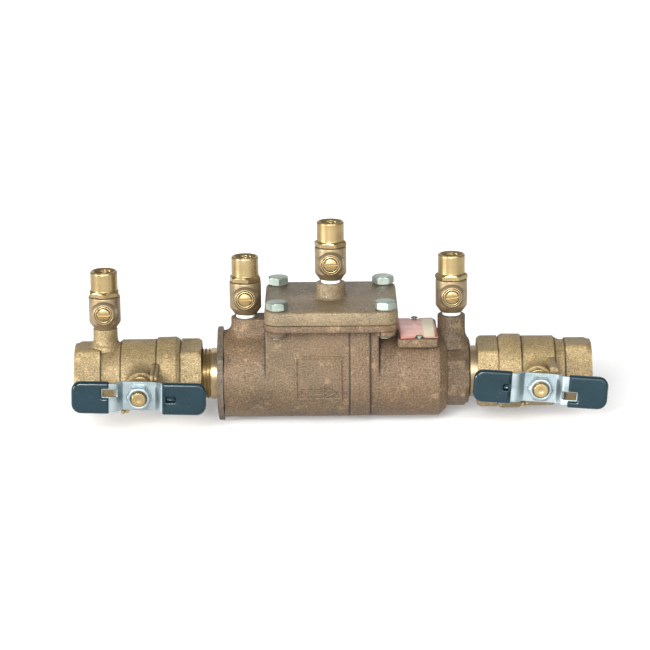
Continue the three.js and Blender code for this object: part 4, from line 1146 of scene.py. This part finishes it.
class BACKFLOW_OT_test_cocks(bpy.types.Operator):
    """Test cocks: bodies with a domed front boss, gland rings, slotted plugs, barrels and thread tape"""

    bl_idname = "backflow.test_cocks"
    bl_label = "Test Cocks"

    def execute(self, context):
        sizes = context.scene.backflow_cocks
        for number, cock in enumerate(COCKS, 1):
            place = moved(cock["x"], 0, cock["base"])
            if number == 1:
                place = valve_place("inlet") @ place
            front = place @ moved(0, 0, PLUG_HEIGHT)
            self.body(number, place, front)
            self.barrel(number, place, cock["collar"], sizes.port_pitch)
            self.plug(number, front @ turned("Y", -cock["turn"]), sizes)
            if number > 1:
                self.tape(number, place, sizes.tape_radius)
        return {"FINISHED"}

    def body(self, number, place, front):
        side = [(-9.3, 2.8, 0), (-9.3, 5.0, 0.2), (-0.2, 5.3, 0), (-0.2, 7.4, 0.3), (0.4, 7.6, 0.4),
                (4.0, 10.3, 0.8), (20.9, 10.35, 0.3), (21.5, 9.9, 0.3), (21.5, 6.8, 0), (17.7, 6.8, 0),
                (17.7, 2.8, 0)]
        dome = [(2, 0, 0), (2, 9.0, 0), (6.6, 8.6, 1.0), (8.0, 8.15, 0.8), (10.9, 8.1, 0.9),
                (12.9, 6.4, 0.5), (12.9, 5.9, 0.2), (12.2, 5.75, 0.1), (11.6, 5.7, 0), (11.6, 0, 0)]
        shells = [hollow(side, "z", 72, place), solid(dome, "front", 72, front)]
        add_piece(f"cock_body_{number}", shells, "cock_bronze", "casing", f"test_cock_{number}_body")
        ring = [(11.2, 4.4, 0), (11.2, 5.55, 0), (12.9, 5.55, 0.3), (13.1, 5.2, 0.2), (13.1, 4.7, 0.2),
                (12.8, 4.4, 0.1)]
        add_piece(f"gland_ring_{number}", [hollow(ring, "front", 64, front)], "stem_brass", "casing")

    def barrel(self, number, place, twist, pitch):
        """The hose port: a collar with flats under a plain tube, threaded inside."""
        profile = [(18, PORT, 0), (21.8, PORT, 0), (21.8, 9.4, 0.2), (22.0, 10.8, 0.2), (24.2, 10.8, 0.1),
                   (25.6, 8.85, 0.3), (37.1, 8.85, 0.3), (38.1, 8.35, 0.3), (38.1, 7.5, 0.2), (37.3, 6.75, 0.1)]
        profile += [(a, PORT, 0) for a in np.arange(37.0, 28.2, -0.18)]
        profile += [(27.6, PORT, 0), (27.6, 2.8, 0), (18, 2.8, 0)]
        shell = hollow(profile, "z", 96, place, flats=COLLAR_FLATS, span=(21.85, 25.55), twist=twist,
                       relief=thread(pitch, PORT_THREAD, 28.0, 37.2, PORT))
        add_piece(f"cock_barrel_{number}", [shell], "turned_brass", "casing", f"test_cock_{number}_barrel",
                  sharp=40)

    def plug(self, number, place, sizes):
        """A turned plug, and on its floor two half discs whose straight sides are the sides of the slot."""
        shank = [(-6.2, 0, 0), (-6.2, 5.4, 0.3), (10.5, 5.4, 0.3), (10.5, 4.1, 0), (12.4, 4.1, 0), (12.4, 0, 0)]
        half, floor = sizes.slot_width / 2, PLUG_FACE - sizes.slot_depth
        shells = [solid(shank, "front", 56, place)]
        start = math.asin(half / PLUG_RADIUS)
        angle = np.linspace(start, math.pi - start, 33)
        arc = PLUG_RADIUS * np.column_stack([np.cos(angle), np.sin(angle)])
        levels = ((12.0, 0), (13.3, 0), (13.55, 0.12), (PLUG_FACE, 0.45))
        for side in (1, -1):
            loops = []
            for _, inset in levels:
                loop = arc * ((PLUG_RADIUS - inset) / PLUG_RADIUS)
                loop[:, 1] = side * np.maximum(loop[:, 1], half + 0.6 * inset)
                loops.append(loop)
            shells.append(Shell(stack_loops(loops, [height for height, _ in levels], "front"), "caps", place))
        disc = [(11.5, 0, 0), (11.5, PLUG_RADIUS, 0), (floor, PLUG_RADIUS, 0), (floor, 0, 0)]
        shells.append(solid(disc, "front", 56, place))
        add_piece(f"cock_plug_{number}", shells, "stem_brass", f"test_cock_{number}_plug",
                  f"test_cock_{number}_plug", sharp=30)

    def tape(self, number, place, radius):
        rows = [(-3.2, 5.2, 0), (-3.2, radius - 0.6, 0.2), (-1.9, radius, 0.4), (-0.5, radius - 0.1, 0.4),
                (-0.1, 5.6, 0.2), (-0.1, 5.2, 0)]
        add_piece(f"thread_tape_{number}", [hollow(rows, "z", 48, place)], "white_ptfe", "casing")


# ---------------------------------------------------------------- tag


class BACKFLOW_OT_tag(bpy.types.Operator):
    """Tag: a thin notched sheet held by two domed drive screws"""

    bl_idname = "backflow.tag"
    bl_label = "Tag and Screws"

    def execute(self, context):
        w, l, n = TAG_HALF_WIDTH, TAG_HALF_LENGTH, TAG_NOTCH
        corners = [(w, -l), (w, l), (n, l), (0, l - 2 * n), (-n, l), (-w, l), (-w, -l), (-n, -l),
                   (0, 2 * n - l), (n, -l)]
        radii = [1.2, 1.2, 0.4, 0.9, 0.4] * 2
        sheet = loft(corners, radii, slab_levels(29.1, 29.7, 0.12, 0.12, 2), steps=4)
        place = moved(TAG_X, 0, 0) @ turned("Z", TAG_TURN)
        add_piece("tag_sheet", [Shell(sheet, "caps", place)], "tag_metal", "casing", "name_tag")
        lean = math.tan(math.radians(TAG_TURN)) * DRIVE_SCREW_Y
        dome = [(24.8, 0, 0), (24.8, 1.3, 0.2), (30.0, 1.3, 0), (30.0, 2.3, 0.15), (30.4, 2.3, 0.3),
                (31.1, 1.4, 0.5), (31.3, 0, 0)]
        for number, side in enumerate((-1, 1), 1):
            screw = solid(dome, "z", 40, moved(TAG_X - side * lean, side * DRIVE_SCREW_Y, 0))
            add_piece(f"drive_screw_{number}", [screw], "zinc_steel", "casing", f"tag_screw_{number}")
        return {"FINISHED"}


# ---------------------------------------------------------------- inside


class BACKFLOW_OT_springs(bpy.types.Operator):
    """Check springs: round wire wound as a helix that ends at the spring guide"""

    bl_idname = "backflow.springs"
    bl_label = "Check Springs"

    def execute(self, context):
        for number, guide in enumerate(SPRING_GUIDES, 1):
            coils = Shell(helix(guide - SPRING_LENGTH, guide, SPRING_COIL, SPRING_WIRE, SPRING_TURNS))
            spring = add_piece(f"check_coils_{number}", [coils], "spring_steel", "casing",
                               f"check_{number}_spring", sharp=60)
            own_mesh(spring)
        return {"FINISHED"}


class BACKFLOW_OT_inner_parts(bpy.types.Operator):
    """Inner parts: gives each carried-over part inside the assembly the finish of its slot"""

    bl_idname = "backflow.inner_parts"
    bl_label = "Inner Parts"

    def execute(self, context):
        slots = {row["node"]: row["material_slot"] for row in frame["record"]["subparts"]}
        for node, part in frame["nodes"].items():
            part.data.materials.clear()
            part.data.materials.append(material(slots[node]))
        return {"FINISHED"}


# ---------------------------------------------------------------- stage


class BACKFLOW_OT_stage(bpy.types.Operator):
    """Stage: a pale floor, soft lights and the camera"""

    bl_idname = "backflow.stage"
    bl_label = "Stage"

    def execute(self, context):
        scene = context.scene
        self.floor(scene)
        world = bpy.data.worlds.new("studio")
        world.use_nodes = True
        background = world.node_tree.nodes["Background"].inputs
        background[0].default_value = WORLD_COLOUR
        background[1].default_value = WORLD_STRENGTH
        scene.world = world
        for row in LAMPS:
            self.lamp(scene, *row)
        self.camera(scene)
        scene.view_settings.view_transform = "Standard"
        return {"FINISHED"}

    def floor(self, scene):
        low, size = cad_box[0][2] - FLOOR_DROP, FLOOR_HALF
        mesh = bpy.data.meshes.new("floor")
        mesh.from_pydata([(-size, -size, low), (size, -size, low), (size, size, low), (-size, size, low)], [],
                         [(0, 1, 2, 3)])
        floor = bpy.data.objects.new("floor", mesh)
        scene.collection.objects.link(floor)
        paper, nodes, shader, where = new_material("floor_paper")
        nodes.feed(shader.inputs["Base Color"], nodes.ramp(nodes.noise(where, 3.0, 1.0), 0.0, 1.0, 0.94, 0.96))
        shader.inputs["Roughness"].default_value = 0.9
        shader.inputs["Specular IOR Level"].default_value = 0.1
        mesh.materials.append(paper)

    def lamp(self, scene, name, azimuth, elevation, angle, strength):
        """A wide soft lamp: azimuth 0 shines along +Y, and angle is how wide it looks from the object."""
        data = bpy.data.lights.new(name, "SUN")
        data.angle, data.energy = math.radians(angle), strength
        lamp = bpy.data.objects.new(name, data)
        a, e = math.radians(azimuth), math.radians(elevation)
        towards = Vector((-math.sin(a) * math.cos(e), math.cos(a) * math.cos(e), -math.sin(e)))
        lamp.location = -2 * towards
        lamp.rotation_euler = towards.to_track_quat("-Z", "Y").to_euler()
        scene.collection.objects.link(lamp)

    def camera(self, scene):
        aim, tilt = Vector(CAMERA_AIM), math.radians(CAMERA_TILT)
        data = bpy.data.cameras.new("camera")
        data.lens, data.sensor_width = CAMERA_LENS, 36.0
        camera = bpy.data.objects.new("camera", data)
        camera.location = aim + CAMERA_DISTANCE * Vector((0.0, -math.cos(tilt), math.sin(tilt)))
        look = (aim - camera.location).to_track_quat("-Z", "Y").to_matrix().to_4x4()
        roll = Matrix.Rotation(math.radians(CAMERA_ROLL), 4, "Z")
        camera.matrix_world = Matrix.Translation(camera.location) @ look @ roll
        scene.collection.objects.link(camera)
        scene.camera = camera


OPERATORS = (
    BACKFLOW_OT_valve_castings, BACKFLOW_OT_valve_trim, BACKFLOW_OT_handles, BACKFLOW_OT_main_body,
    BACKFLOW_OT_inlet_plug, BACKFLOW_OT_cover, BACKFLOW_OT_cover_bolts, BACKFLOW_OT_test_cocks,
    BACKFLOW_OT_tag, BACKFLOW_OT_springs, BACKFLOW_OT_inner_parts, BACKFLOW_OT_stage,
)
SETTINGS = {"backflow_valves": ValveSizes, "backflow_body": BodySizes, "backflow_cocks": CockSizes,
            "backflow_finishes": Finishes}


class BACKFLOW_PT_panel(bpy.types.Panel):
    """Lists the operators in their order, and the sizes and colours that they read"""

    bl_idname = "BACKFLOW_PT_panel"
    bl_label = "Backflow Preventer"
    bl_space_type = "VIEW_3D"
    bl_region_type = "UI"
    bl_category = "Backflow"

    def draw(self, context):
        for operator in OPERATORS:
            self.layout.operator(operator.bl_idname)
        for key, kind in SETTINGS.items():
            box = self.layout.box()
            for name in kind.__annotations__:
                box.prop(getattr(context.scene, key), name)


CLASSES = (*SETTINGS.values(), *OPERATORS, BACKFLOW_PT_panel)


def register():
    for kind in CLASSES:
        bpy.utils.register_class(kind)
    for key, kind in SETTINGS.items():
        setattr(bpy.types.Scene, key, bpy.props.PointerProperty(type=kind))


def unregister():
    for key in SETTINGS:
        delattr(bpy.types.Scene, key)
    for kind in reversed(CLASSES):
        bpy.utils.unregister_class(kind)


def main():
    register()
    for operator in OPERATORS:
        family, name = operator.bl_idname.split(".")
        getattr(getattr(bpy.ops, family), name)()


if __name__ == "__main__":
    main()
